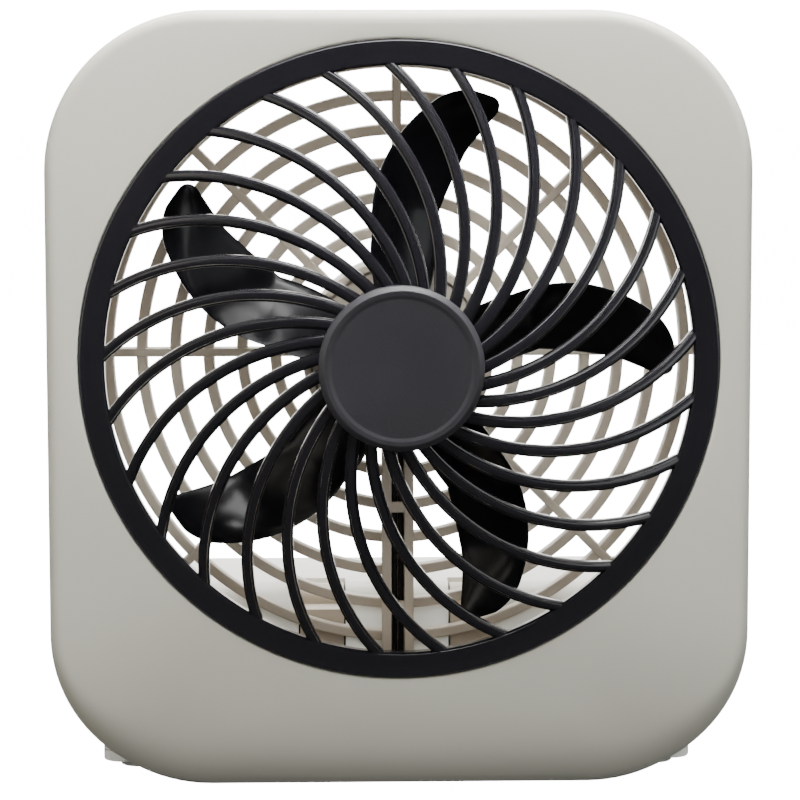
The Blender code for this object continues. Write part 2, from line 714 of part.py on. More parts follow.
def make_base_shell():
    """The upper shell: a box open below, with rounded edges, whose upper front edge is the hinge barrel."""
    bm = bmesh.new()
    box_into(bm, (-BASE_HALF, BASE_FRONT_Y, SHELL_BOTTOM_Z), (BASE_HALF, BASE_REAR_Y, BASE_TOP_Z))
    lowest = [face for face in bm.faces if face.normal.z < -0.5]
    bmesh.ops.delete(bm, geom=lowest, context="FACES_ONLY")
    base = mesh_object("base_shell", bm, BASE_PLASTIC)
    rounding = base.modifiers.new("rounded_edges", "BEVEL")
    rounding.width = BASE_ROUND
    rounding.segments = 3
    thick = base.modifiers.new("wall", "SOLIDIFY")
    thick.thickness = WALL
    thick.use_even_offset = True

    knuckles = bmesh.new()
    bosses = bmesh.new()
    pilots = bmesh.new()
    for side in (-1, 1):
        at = Matrix.Translation((side * LUG_X, PIVOT_Y, PIVOT_Z)) @ ALONG_X
        cylinder_into(knuckles, BASE_ROUND - 0.0003, -0.0084, 0.0084, at, 20)
        for y in BASE_SCREW_YS:
            screw_at = Matrix.Translation((side * BASE_SCREW_X, y, 0))
            cylinder_into(bosses, 0.0026, SHELL_BOTTOM_Z, 0.0100, screw_at, 12)
            cylinder_into(pilots, 0.0013, 0.0030, 0.0094, screw_at, 10)
    join(base, mesh_object("knuckles", knuckles))
    join(base, mesh_object("base_bosses", bosses))
    cut(base, mesh_object("base_boss_pilots", pilots))

    slots = bmesh.new()
    for side in (-1, 1):
        left, right = side * LUG_X - SLOT_HALF, side * LUG_X + SLOT_HALF
        box_into(slots, (left, 0, SLOT_BOTTOM_Z), (right, SLOT_REAR_Y, 0.05))
    cut(base, mesh_object("lug_slots", slots))
    at = Matrix.Translation((0, PIVOT_Y, PIVOT_Z)) @ ALONG_X
    cut(base, cylinder("pin_bore", PIN_RADIUS + GAP, -0.0280, 0.0280, matrix=at, sides=16))
    at = Matrix.Translation((0, 0, WIRE_PASS_Z)) @ ALONG_Y
    cut(base, cylinder("base_wire_pass", WIRE_PASS, 0, 0.0050, matrix=at, sides=14))
    reach = KNOB_TRAVEL + 0.0018
    low, high = (0.0680, SWITCH_Y - reach, SWITCH_Z - 0.0015), (0.0720, SWITCH_Y + reach, SWITCH_Z + 0.0015)
    cut(base, box("switch_slot", low, high))
    at = Matrix.Translation((0, JACK_Y, JACK_Z)) @ ALONG_X
    cut(base, cylinder("jack_hole", 0.0033, -0.0720, -0.0680, matrix=at, sides=18))


def make_base_bottom():
    bm = bmesh.new()
    box_into(bm, (-BASE_HALF, BASE_FRONT_Y, PLATE_BOTTOM_Z), (BASE_HALF, BASE_REAR_Y, PLATE_TOP_Z))
    upright = [e for e in bm.edges if abs(e.verts[0].co.z - e.verts[1].co.z) > 0.001]
    bmesh.ops.bevel(bm, geom=upright, offset=BASE_ROUND, segments=3, affect="EDGES", profile=0.5)
    plate = mesh_object("base_bottom", bm, BASE_PLASTIC)
    cut(plate, dovetail("door_opening", GAP, 0.0480, 0.0005))
    recesses = bmesh.new()
    heads = bmesh.new()
    shanks = bmesh.new()
    for side in (-1, 1):
        for y in FOOT_YS:
            cylinder_into(recesses, 0.0048, 0, 0.0024, Matrix.Translation((side * FOOT_X, y, 0)), 20)
        for y in BASE_SCREW_YS:
            at = Matrix.Translation((side * BASE_SCREW_X, y, 0))
            cylinder_into(heads, 0.0025, 0, 0.0029, at, 14)
            cylinder_into(shanks, 0.0013, 0.0020, 0.0050, at, 10)
    cut(plate, mesh_object("foot_recesses", recesses))
    cut(plate, mesh_object("screw_head_recesses", heads))
    cut(plate, mesh_object("screw_shank_holes", shanks))


def dovetail(name, grow, rear, above, made_of=None, parent=None, placed=None):
    """The battery door's shape: wider above than below, so that it slides but can't drop out."""
    low, high = PLATE_BOTTOM_Z - above, PLATE_TOP_Z + above
    bm = bmesh.new()
    box_into(bm, (-1, DOOR_FRONT_Y - grow, low), (1, rear, high))
    for vert in bm.verts:
        rise = vert.co.z - PLATE_TOP_Z
        vert.co.x *= DOOR_HALF + grow + rise * 0.4
    return mesh_object(name, bm, made_of, parent, placed)


def make_battery_door():
    to_slide = Matrix.Translation((0, -DOOR_FRONT_Y, -PLATE_BOTTOM_Z))
    door = dovetail("battery_door", 0, BASE_REAR_Y - 0.0002, 0, BASE_PLASTIC, DOOR, to_slide)
    grip = bmesh.new()
    for ridge in range(4):
        y = 0.0300 + 0.0020 * ridge
        box_into(grip, (-0.0080, y, -0.001), (0.0080, y + 0.0010, 0.0005))
    cut(door, mesh_object("door_grip", grip, parent=DOOR))


def make_feet_and_screws():
    for side, side_name in ((-1, "left"), (1, "right")):
        for y, end_name in zip(FOOT_YS, ("front", "rear")):
            profile = [(0, 0.0021), (0.0045, 0.0021), (0.0045, 0.0005), (0.0040, 0), (0, 0)]
            at = Matrix.Translation((side * FOOT_X, y, 0))
            turned(f"foot_{end_name}_{side_name}", profile, RUBBER, steps=20, placed=at)
        for y, end_name in zip(BASE_SCREW_YS, ("front", "rear")):
            profile = [
                (0, 0.0090), (0.0010, 0.0090), (0.0010, 0.0026), (0.0022, 0.0026), (0.0022, 0.0019),
                (0.0016, 0.0015), (0, 0.0015),
            ]
            at = Matrix.Translation((side * BASE_SCREW_X, y, 0))
            turned(f"base_screw_{end_name}_{side_name}", profile, ZINC, steps=12, placed=at)


def make_batteries():
    for index, name in enumerate(("left", "right")):
        start = -(CELL_LENGTH + NUB_LENGTH + GAP / 2) + index * (CELL_LENGTH + NUB_LENGTH + GAP)
        at = Matrix.Translation((start, CELL_Y, CELL_Z)) @ ALONG_X
        profile = [
            (0, CELL_LENGTH + NUB_LENGTH), (0.0047, CELL_LENGTH + NUB_LENGTH), (0.0047, CELL_LENGTH),
            (CELL_RADIUS - 0.0006, CELL_LENGTH), (CELL_RADIUS, CELL_LENGTH - 0.0006), (CELL_RADIUS, 0.0006),
            (CELL_RADIUS - 0.0006, 0), (0, 0),
        ]
        turned(f"battery_{name}", profile, CELL_SLEEVE, steps=20, placed=at)
    low, high = (0.0622, CELL_Y - 0.009, 0.0140), (0.0626, CELL_Y + 0.009, 0.0300)
    box("battery_contact_positive", low, high, ZINC)
    low, high = (-0.0687, CELL_Y - 0.009, 0.0120), (-0.0683, CELL_Y + 0.009, 0.0300)
    box("battery_contact_negative", low, high, ZINC)
    points = []
    for step in range(SPRING_TURNS * SPRING_STEPS + 1):
        part = step / (SPRING_TURNS * SPRING_STEPS)
        angle = math.tau * SPRING_TURNS * part
        radius = 0.0070 - 0.0030 * part
        across = Vector((0, radius * math.cos(angle), radius * math.sin(angle)))
        points.append(Vector((-0.0675 + 0.0051 * part, CELL_Y, CELL_Z)) + across)
    curve_object("battery_spring", [points], 0.0004, ZINC, resolution=0)


def make_switch_and_inlet():
    low, high = (0.0630, SWITCH_Y - 0.008, SWITCH_Z - 0.0035), (0.0686, SWITCH_Y + 0.008, SWITCH_Z + 0.0035)
    box("switch_body", low, high, WIRE_BLACK)
    bm = bmesh.new()
    box_into(bm, (0.0003, -0.0040, -0.0025), (0.0020, 0.0040, 0.0025))
    knob = mesh_object("switch_knob", bm, BLACK_PLASTIC, KNOB)
    join(knob, box("knob_neck", (-0.0021, -0.0015, -0.0012), (0.0010, 0.0015, 0.0012), parent=KNOB))
    ridges = bmesh.new()
    for ridge in (-1, 0, 1):
        middle = ridge * 0.0022
        box_into(ridges, (0.0015, middle - 0.0005, -0.0021), (0.0026, middle + 0.0005, 0.0021))
    join(knob, mesh_object("knob_ridges", ridges, parent=KNOB))

    low = (-0.0687, JACK_Y - JACK_HALF, JACK_Z - JACK_HALF)
    high = (-0.0623, JACK_Y + JACK_HALF, JACK_Z + JACK_HALF)
    jack = box("dc_jack", low, high, WIRE_BLACK)
    at = Matrix.Translation((0, JACK_Y, JACK_Z)) @ ALONG_X
    join(jack, cylinder("jack_nose", 0.0030, -0.0707, -0.0680, matrix=at, sides=18))
    section = tube_profile(0.0024, 0.0008, -0.0640, -0.0720)
    cut(jack, turned("jack_socket", section, placed=at, steps=16, ring=True))

    at = Matrix.Translation((0.0450, 0.0065, 0.0120)) @ ALONG_X
    cylinder("speed_resistor", 0.0022, -0.0055, 0.0055, CERAMIC, matrix=at, sides=14)


def make_base_wires():
    """They end just inside the hole in the front wall, where the head's two wires begin."""
    run_y, run_z = 0.0065, 0.0120
    routes = {
        "wire_switch_to_resistor": [
            (0.0658, SWITCH_Y - 0.0085, SWITCH_Z), (0.0655, 0.0100, 0.0265), (0.0635, 0.0072, 0.0200),
            (0.0590, run_y, 0.0140), (0.0550, run_y, run_z), (0.0509, run_y, run_z),
        ],
        "wire_resistor_to_hinge": [
            (0.0391, run_y, run_z), (0.0300, run_y, run_z), (0.0100, run_y, run_z), (0.0040, run_y, 0.0150),
            (0.0010, run_y, 0.0210), (0.0008, 0.0055, 0.0250), (0.0008, 0.0037, WIRE_PASS_Z),
        ],
        "wire_spring_to_hinge": [
            (-0.0670, 0.0182, 0.0210), (-0.0660, 0.0120, 0.0190), (-0.0620, 0.0075, 0.0150),
            (-0.0550, run_y, run_z), (-0.0300, run_y, run_z), (-0.0100, run_y, run_z),
            (-0.0040, run_y, 0.0150), (-0.0010, run_y, 0.0210), (-0.0008, 0.0055, 0.0250),
            (-0.0008, 0.0037, WIRE_PASS_Z),
        ],
    }
    for name, points in routes.items():
        curve_object(name, [points], WIRE_RADIUS, WIRE_BLACK, resolution=1)


def make_hinge_pin():
    at = Matrix.Translation((0, PIVOT_Y, PIVOT_Z)) @ ALONG_X
    cylinder("hinge_pin", PIN_RADIUS, -PIN_HALF, PIN_HALF, STEEL, matrix=at, sides=16)


make_bezel()
make_front_grille()
make_badge()
make_impeller()
make_rear_housing()
make_head_screws()
make_motor()
make_motor_wires()
make_base_shell()
make_base_bottom()
make_battery_door()
make_feet_and_screws()
make_batteries()
make_switch_and_inlet()
make_base_wires()
make_hinge_pin()
bpy.context.view_layer.update()
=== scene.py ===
"""The looks of a small battery desk fan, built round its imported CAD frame.

Head pieces are made in the head's own frame (origin on the fan axis in the bezel's front plane,
X right, Y up, Z to the front) and moved to world by HEAD. Base pieces are made in world space.
"""

import math

import bmesh
import bpy
import numpy as np
from mathutils import Matrix, Vector


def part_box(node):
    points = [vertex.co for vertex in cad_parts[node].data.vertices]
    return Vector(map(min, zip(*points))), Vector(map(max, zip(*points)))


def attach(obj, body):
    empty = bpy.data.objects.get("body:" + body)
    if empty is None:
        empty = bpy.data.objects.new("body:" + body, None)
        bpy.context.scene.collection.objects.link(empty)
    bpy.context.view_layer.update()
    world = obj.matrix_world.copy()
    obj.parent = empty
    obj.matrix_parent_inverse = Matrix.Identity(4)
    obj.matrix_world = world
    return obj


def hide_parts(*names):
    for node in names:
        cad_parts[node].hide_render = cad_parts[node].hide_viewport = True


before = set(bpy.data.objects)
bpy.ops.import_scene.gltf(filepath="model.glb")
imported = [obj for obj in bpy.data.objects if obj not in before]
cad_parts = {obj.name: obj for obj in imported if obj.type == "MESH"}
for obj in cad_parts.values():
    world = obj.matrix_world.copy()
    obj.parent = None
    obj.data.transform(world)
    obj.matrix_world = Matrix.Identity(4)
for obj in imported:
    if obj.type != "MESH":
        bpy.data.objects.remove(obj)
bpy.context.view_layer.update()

# ---------------------------------------------------------------- places read from the frame

bezel_low, bezel_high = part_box("front_bezel")
badge_low, badge_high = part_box("grille_badge")
housing_low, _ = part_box("rear_housing")
shell_low, shell_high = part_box("base_shell")
plate_low, plate_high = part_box("base_bottom")
pin_low, pin_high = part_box("hinge_pin")
knob_low, knob_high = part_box("switch_knob")
door_low, door_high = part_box("battery_door")

BEZEL_Y = bezel_low.y
AXIS_Z = (badge_low.z + badge_high.z) / 2
HEAD = Matrix.Translation((0, BEZEL_Y, AXIS_Z)) @ Matrix.Rotation(math.pi / 2, 4, "X")
WORLD = Matrix()

HALF_WIDTH = bezel_high.x
UP = bezel_high.z - AXIS_Z
DOWN = AXIS_Z - bezel_low.z
CORNER = 0.037
WALL = 0.002
PARTING = BEZEL_Y - housing_low.y - 0.0022  # the housing's lip reaches 2.2 mm past the joint
PARTING_GAP = 0.00015
REAR = -0.030

RING_OUTER = 0.0733
RING_INNER = 0.0673
BEZEL_HOLE = RING_OUTER + 0.00015
SLATS = 29
SLAT_ARC = 0.0520
SLAT_CENTRE = 0.0479
SLAT_PHASE = math.radians(92.1)
SLAT_DEPTH = 0.0031
DOME_RISE = 0.0151
DOME_RADIUS = 0.1500
HUB_RADIUS = 0.0180
HUB_FRONT = 0.0141
BADGE_RADIUS = badge_high.x
BADGE_FRONT = BEZEL_Y - badge_low.y

BLADES = 5
BLADE_TIP = 0.0640
BLADE_PHASE = math.radians(2.2)
BLADE_CORNER = 0.0042
BLADE_THICKNESS = 0.0016
CUP_RADIUS = 0.0170
BLADE_ROOT = CUP_RADIUS - 0.0007
CUP_REAR = -0.0148

REAR_OPENING = 0.0735
REAR_RINGS = [0.0287 + 0.0079 * i for i in range(6)]
REAR_RING_WIDTH = 0.0028
RIB_WIDTH = 0.0024
GRILLE_FRONT = -0.0262
GRILLE_REAR = -0.0292
POD_RADIUS = 0.0223
POD_FRONT = -0.0160
POD_REAR = -0.0381

PIVOT = (pin_low + pin_high) / 2
BASE_ROUND = shell_high.z - PIVOT.z
LUG_X = 0.0180
LUG_BARREL = 0.0043
LUG_BOTTOM_Z = 0.0244
LUG_REAR = -0.0294
SLOT_HALF = 0.00565
SLOT_BOTTOM_Z = 0.0240
SLOT_REAR_Y = PIVOT.y + 0.0049
PIN_BORE = 0.0018
WIRE_PASS_Z = 0.0240
WIRE_PASS_RADIUS = 0.0021
MOTOR_SCREW_X = 0.0186
KNOB = (knob_low + knob_high) / 2

FLOOR_REACH = 10.0
FLOOR_GLOW = 16.0
FRONT_GLOW = 2.5
FLOOR_FADE = (-0.500, 0.0)
WALL_GLOW = 17.0
SKY_ABOVE = 0.12
SKY_BELOW = 0.17
CAMERA_LENS = 138
CAMERA_DISTANCE = 0.700
CAMERA_DROP = 0.0087
CAMERA_PITCH = 6.1
CAMERA_YAW = 1.45
CAMERA_ROLL = -0.10


# ---------------------------------------------------------------- mesh helpers


def fillet(corners, closed=True, steps=4):
    """Rounds the corners of a line of (x, y, radius) points and returns (x, y) points."""
    count = len(corners)
    rounded = []
    for i, (x, y, radius) in enumerate(corners):
        here = Vector((x, y))
        if radius <= 0 or (not closed and i in (0, count - 1)):
            rounded.append(here)
            continue
        before = Vector(corners[i - 1][:2]) - here
        after = Vector(corners[(i + 1) % count][:2]) - here
        half = before.angle(after) / 2
        reach = min(radius / math.tan(half), before.length * 0.49, after.length * 0.49)
        start, end = here + before.normalized() * reach, here + after.normalized() * reach
        for step in range(steps + 1):
            t = step / steps
            rounded.append(start.lerp(here, t).lerp(here.lerp(end, t), t))
    return rounded


def loft(bm, loops, wrap=False):
    """Joins closed loops of equal length, and either wraps the last to the first or caps both ends."""
    rows = [[bm.verts.new(point) for point in loop] for loop in loops]
    pairs = list(zip(rows, rows[1:]))
    if wrap:
        pairs.append((rows[-1], rows[0]))
    else:
        bm.faces.new(rows[0])
        bm.faces.new(rows[-1])
    for row, after in pairs:
        for i in range(len(row)):
            j = (i + 1) % len(row)
            bm.faces.new((row[i], row[j], after[j], after[i]))


def lathe(bm, profile, steps=96, wrap=False, at=Matrix()):
    """Turns (radius, height) points about Z. A wrapped profile makes a ring, another is capped."""
    loops = []
    for radius, height in profile:
        turns = (math.tau * i / steps for i in range(steps))
        loops.append([at @ Vector((radius * math.cos(a), radius * math.sin(a), height)) for a in turns])
    loft(bm, loops, wrap)


def sweep(bm, path, section, at=Matrix()):
    """Carries a closed (side, up) section along a path, with its caps."""
    up = Vector((0, 0, 1))
    loops = []
    for i, point in enumerate(path):
        ahead = (Vector(path[min(i + 1, len(path) - 1)]) - Vector(path[max(i - 1, 0)])).normalized()
        side = ahead.cross(up).normalized()
        rise = side.cross(ahead).normalized()
        shape = section(i / (len(path) - 1)) if callable(section) else section
        loops.append([at @ (Vector(point) + side * x + rise * y) for x, y in shape])
    loft(bm, loops)


def bevel(bm, edges, offset, segments):
    bmesh.ops.bevel(bm, geom=edges, offset=offset, segments=segments, affect="EDGES", profile=0.5)


def rounded_box(bm, low, high, radius, segments=3, at=Matrix()):
    """A box with rounded edges. With a radius of 0 they stay sharp, and its vertices are returned."""
    size = Vector(high) - Vector(low)
    middle = (Vector(high) + Vector(low)) / 2
    matrix = at @ Matrix.Translation(middle) @ Matrix.Diagonal((*size, 1))
    made = bmesh.ops.create_cube(bm, size=1, matrix=matrix)
    if radius > 0:
        bevel(bm, list({e for v in made["verts"] for e in v.link_edges}), radius, segments)
    return made["verts"]


def mesh_of(name, bm, space):
    bmesh.ops.transform(bm, matrix=space, verts=bm.verts)
    bmesh.ops.recalc_face_normals(bm, faces=bm.faces)
    mesh = bpy.data.meshes.new(name)
    bm.to_mesh(mesh)
    bm.free()
    return mesh


def solid(name, *shells, space=WORLD, cuts=()):
    """One object from closed shells that may overlap, each with the cuts taken out of it."""
    link = bpy.context.scene.collection.objects.link
    cutters = []
    for number, builder in enumerate(cuts):
        bm = bmesh.new()
        builder(bm)
        cutter = bpy.data.objects.new(f"{name}_cut_{number}", mesh_of(f"{name}_cut_{number}", bm, space))
        link(cutter)
        cutters.append(cutter)
    whole = bmesh.new()
    for builder in shells:
        bm = bmesh.new()
        builder(bm)
        mesh = mesh_of(name, bm, space)
        if cutters:
            part = bpy.data.objects.new(name, mesh)
            link(part)
            for cutter in cutters:
                modifier = part.modifiers.new(cutter.name, "BOOLEAN")
                modifier.operation = "DIFFERENCE"
                modifier.object = cutter
                modifier.solver = "MANIFOLD"
            graph = bpy.context.evaluated_depsgraph_get()
            cut = bpy.data.meshes.new_from_object(part.evaluated_get(graph))
            bpy.data.objects.remove(part)
            bpy.data.meshes.remove(mesh)
            mesh = cut
        whole.from_mesh(mesh)
        bpy.data.meshes.remove(mesh)
    for cutter in cutters:
        bpy.data.meshes.remove(cutter.data)
    mesh = bpy.data.meshes.new(name)
    whole.to_mesh(mesh)
    whole.free()
    made = bpy.data.objects.new(name, mesh)
    link(made)
    return made


def dress(obj, material, body, replaces=(), sharp=30):
    """Gives a piece its material, shading and body, and hides the CAD nodes that it stands for."""
    obj.data.materials.clear()
    obj.data.materials.append(material)
    if obj.type == "MESH":
        obj.data.shade_smooth()
        obj.data.set_sharp_from_angle(angle=math.radians(sharp))
        weighted = obj.modifiers.new("weighted", "WEIGHTED_NORMAL")
        weighted.keep_sharp = True
    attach(obj, body)
    if replaces:
        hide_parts(*replaces)


# ---------------------------------------------------------------- materials


def new_material(name, colour, roughness, metallic=0.0, specular=0.5):
    material = bpy.data.materials.new(name)
    material.use_nodes = True
    shader = material.node_tree.nodes["Principled BSDF"]
    shader.inputs["Base Color"].default_value = (*colour, 1)
    shader.inputs["Roughness"].default_value = roughness
    shader.inputs["Metallic"].default_value = metallic
    shader.inputs["Specular IOR Level"].default_value = specular
    return material, shader


def noise(tree, scale, detail=4.0, stretch=(1, 1, 1)):
    """Noise in the object's own space, in waves per metre, so that it moves with the piece."""
    place = tree.nodes.new("ShaderNodeTexCoord")
    mapping = tree.nodes.new("ShaderNodeMapping")
    mapping.inputs["Scale"].default_value = stretch
    texture = tree.nodes.new("ShaderNodeTexNoise")
    texture.inputs["Scale"].default_value = scale
    texture.inputs["Detail"].default_value = detail
    tree.links.new(place.outputs["Object"], mapping.inputs["Vector"])
    tree.links.new(mapping.outputs["Vector"], texture.inputs["Vector"])
    return texture


def vary(tree, texture, low, high, target):
    """Maps a texture's middle range onto low to high and feeds it to a socket."""
    spread = tree.nodes.new("ShaderNodeMapRange")
    spread.inputs["From Min"].default_value = 0.3
    spread.inputs["From Max"].default_value = 0.7
    spread.inputs["To Min"].default_value = low
    spread.inputs["To Max"].default_value = high
    tree.links.new(texture.outputs["Fac"], spread.inputs["Value"])
    tree.links.new(spread.outputs["Result"], target)


def tint(tree, texture, dark, light, target):
    ramp = tree.nodes.new("ShaderNodeValToRGB")
    ramp.color_ramp.elements[0].position = 0.3
    ramp.color_ramp.elements[1].position = 0.7
    ramp.color_ramp.elements[0].color = (*dark, 1)
    ramp.color_ramp.elements[1].color = (*light, 1)
    tree.links.new(texture.outputs["Fac"], ramp.inputs["Fac"])
    tree.links.new(ramp.outputs["Color"], target)


def bumps(tree, shader, layers):
    """Chains bump nodes, each (texture, strength, height in metres)."""
    below = None
    for texture, strength, height in layers:
        bump = tree.nodes.new("ShaderNodeBump")
        bump.inputs["Strength"].default_value = strength
        bump.inputs["Distance"].default_value = height
        tree.links.new(texture.outputs["Fac"], bump.inputs["Height"])
        if below:
            tree.links.new(below.outputs["Normal"], bump.inputs["Normal"])
        below = bump
    tree.links.new(below.outputs["Normal"], shader.inputs["Normal"])


def shade(colour, factor):
    return tuple(min(channel * factor, 1.0) for channel in colour)


def plastic(name, colour, roughness, grain=2600, grain_height=0.00002, spread=0.05, specular=0.5, wave=0.25):
    """Moulded plastic: faint cloudy colour, uneven gloss, a slight flow waviness and a fine grain."""
    material, shader = new_material(name, colour, roughness, specular=specular)
    tree = material.node_tree
    clouds = noise(tree, 22, 3)
    tint(tree, clouds, shade(colour, 1 - spread), shade(colour, 1 + spread), shader.inputs["Base Color"])
    vary(tree, noise(tree, 90, 5), roughness * 0.88, roughness * 1.12, shader.inputs["Roughness"])
    fine = noise(tree, grain, 2)
    waves = noise(tree, 45, 1)
    bumps(tree, shader, [(waves, wave, 0.00008), (fine, 0.5, grain_height)])
    return material


def metal(name, colour, roughness, stretch=(1, 1, 1)):
    """Bare or plated metal with drawn streaks and dull spots."""
    material, shader = new_material(name, colour, roughness, 1.0)
    tree = material.node_tree
    streaks = noise(tree, 900, 4, stretch)
    tint(tree, noise(tree, 160, 4), shade(colour, 0.86), shade(colour, 1.06), shader.inputs["Base Color"])
    vary(tree, streaks, roughness * 0.8, roughness * 1.3, shader.inputs["Roughness"])
    bumps(tree, shader, [(streaks, 0.3, 0.00001)])
    return material


BEZEL_GREY = plastic(
    "bezel_plastic", (0.60, 0.585, 0.50), 0.42, grain=3200, grain_height=0.000012, spread=0.02
)
GRILLE_BLACK = plastic(
    "grille_black", (0.009, 0.0085, 0.0115), 0.20, grain=3000, grain_height=0.000003, spread=0.15, wave=0.05
)
BADGE_BLACK = plastic(
    "badge_black", (0.024, 0.023, 0.028), 0.46, grain=1900, grain_height=0.00006, spread=0.12
)
BLADE_BLACK = plastic(
    "impeller_black", (0.006, 0.006, 0.008), 0.17, grain=1500, grain_height=0.000004, spread=0.2,
    specular=0.20, wave=0.03,
)
REAR_BEIGE = plastic("rear_plastic", (0.60, 0.535, 0.44), 0.42, grain=2600, grain_height=0.00002, spread=0.05)
BASE_GREY = plastic("base_plastic", (0.76, 0.76, 0.70), 0.40, grain=2800, grain_height=0.00002, spread=0.03)
KNOB_BLACK = plastic("knob_black", (0.03, 0.03, 0.03), 0.45)
RUBBER = plastic("foot_rubber", (0.50, 0.49, 0.46), 0.75, grain=1400, grain_height=0.00005, spread=0.2)
WIRE_BLACK = plastic("wire_black", (0.012, 0.012, 0.012), 0.32)
NYLON = plastic("nylon", (0.70, 0.69, 0.64), 0.4)
FERRITE = plastic("ferrite", (0.05, 0.05, 0.055), 0.6, grain=900, grain_height=0.00008)
CERAMIC = plastic("ceramic", (0.46, 0.38, 0.29), 0.6, grain=1200, grain_height=0.00005)
SLEEVE = plastic("cell_sleeve", (0.03, 0.03, 0.032), 0.22, grain=600, grain_height=0.00001)
STEEL = metal("steel", (0.60, 0.60, 0.61), 0.26, (0.1, 1, 1))
ZINC = metal("zinc", (0.70, 0.71, 0.72), 0.32)
BRASS = metal("brass", (0.78, 0.57, 0.26), 0.28)
COPPER = metal("copper", (0.80, 0.42, 0.25), 0.30)


# ---------------------------------------------------------------- the head's outline


def head_outline(arc_steps=24, straight_steps=30):
    """Points of the head's rounded rectangle and their outward normals, anticlockwise, as arrays."""
    across = HALF_WIDTH - CORNER
    low, high = CORNER - DOWN, UP - CORNER
    centres = ((across, low), (across, high), (-across, high), (-across, low))
    points, normals = [], []
    for corner, centre in enumerate(centres):
        centre = np.array(centre)
        after = np.array(centres[(corner + 1) % 4])
        for step in range(arc_steps + 1):
            angle = math.radians(90) * (corner - 1 + step / arc_steps)
            normals.append((math.cos(angle), math.sin(angle)))
            points.append(centre + CORNER * np.array(normals[-1]))
        out = normals[-1]
        for step in range(1, straight_steps):
            points.append(centre + (after - centre) * step / straight_steps + CORNER * np.array(out))
            normals.append(out)
    return np.array(points), np.array(normals)


OUTLINE, NORMALS = head_outline()
RAYS = OUTLINE / np.linalg.norm(OUTLINE, axis=1)[:, None]


def margin(radius):
    """How far the outline lies outside a circle about the fan axis, point by point."""
    return np.linalg.norm(OUTLINE, axis=1) - radius


def level(flat, z):
    """A loop at height z, which may differ from point to point."""
    heights = np.broadcast_to(z, len(flat))
    return [Vector((x, y, h)) for (x, y), h in zip(flat, heights)]


def inset(amount, z):
    return level(OUTLINE - NORMALS * np.reshape(amount, (-1, 1)), z)


def circle(radius, z):
    return level(RAYS * radius, z)


def rounding(reach, depth, power=2.4, steps=10):
    """(inset, drop) pairs of a quarter superellipse, from the flat face out to the side wall."""
    for step in range(steps + 1):
        angle = math.radians(90) * step / steps
        out, keep = math.sin(angle) ** (2 / power), math.cos(angle) ** (2 / power)
        yield reach * (1 - out), depth * (1 - keep)


def bezel_shell(bm):
    """The face is dished a little round the ring; below it, it leans back and rounds over slowly."""
    room = margin(BEZEL_HOLE)
    below = np.clip(-NORMALS[:, 1], 0, 1) ** 2
    lean = 0.135 * below
    reach = np.minimum(0.0030 + 0.0120 * below, room * 0.80)
    dish = np.clip(0.0003 + room * 0.012, 0, 0.0006)
    crest = OUTLINE - NORMALS * reach[:, None]
    rim = RAYS * (BEZEL_HOLE + 0.0002)
    loops = [circle(BEZEL_HOLE, -0.0110), circle(BEZEL_HOLE, -dish - 0.0002)]
    for step in range(9):
        t = step / 9
        loops.append(level(rim + (crest - rim) * t, -dish * (1 - t) ** 2 - lean * t * (room - reach)))
    for amount, drop in rounding(reach, 0.0036 + 0.0024 * below):
        loops.append(inset(amount + 0.00035, -drop - lean * (room - amount)))
    loops += [inset(0.0001, -0.0100), inset(0.00005, PARTING + 0.0006), inset(0.0002, PARTING + PARTING_GAP)]
    loops += [inset(WALL, PARTING + PARTING_GAP), inset(WALL + 0.0004, -0.0042 - lean * (room + 0.010))]
    loops += [inset(0.0034, -0.0028 - lean * (room + 0.010))]
    loops += [circle(BEZEL_HOLE + 0.0015, -0.0036), circle(BEZEL_HOLE + 0.0015, -0.0110)]
    loft(bm, loops, wrap=True)


def make_bezel():
    bezel = solid("bezel_shell", bezel_shell, space=HEAD)
    dress(bezel, BEZEL_GREY, "head", ["front_bezel"], sharp=40)


# ---------------------------------------------------------------- front grille


def dome(radius):
    return DOME_RISE - radius**2 / (2 * DOME_RADIUS)


def slat_path(index, inner, outer, steps):
    points = []
    for step in range(steps + 1):
        radius = inner + (outer - inner) * step / steps
        cosine = (radius**2 + SLAT_CENTRE**2 - SLAT_ARC**2) / (2 * radius * SLAT_CENTRE)
        angle = SLAT_PHASE + math.tau * index / SLATS - math.acos(cosine)
        points.append((radius * math.cos(angle), radius * math.sin(angle), dome(radius)))
    return points


def slat_section(along):
    """A slightly crowned top, a steep step down on each side, then a ledge and sides with draft."""
    grow = 0.00012 * (1 - along)
    top, step, ledge = 0.00060 + grow, 0.00088 + grow, 0.00120 + grow
    right = [(0.0, 0.0), (top * 0.6, -0.00002), (top, -0.00008), (top + 0.00006, -0.00014)]
    right += [(step, -0.00070), (step + 0.00008, -0.00078), (ledge, -0.00086), (ledge + 0.00007, -0.00098)]
    right += [(ledge + 0.00012, -0.0024), (ledge - 0.0002, -SLAT_DEPTH)]
    return right + [(-x, y) for x, y in reversed(right[1:])]


def grille_ring(bm):
    profile = [
        (RING_INNER, -0.0008, 0.0002), (RING_INNER + 0.0005, -0.0001, 0.0003),
        (RING_OUTER - 0.0005, -0.0001, 0.0004), (RING_OUTER, -0.0006, 0.0004),
        (RING_OUTER, -0.0050, 0.0002), (RING_INNER, -0.0034, 0.0002),
    ]
    lathe(bm, fillet(profile, steps=4), steps=232, wrap=True)


def grille_hub(bm):
    profile = [
        (0.0033, HUB_FRONT, 0), (HUB_RADIUS, HUB_FRONT, 0.0005), (HUB_RADIUS, 0.0105, 0.0003),
        (0.0033, 0.0105, 0),
    ]
    lathe(bm, fillet(profile), steps=116, wrap=True)


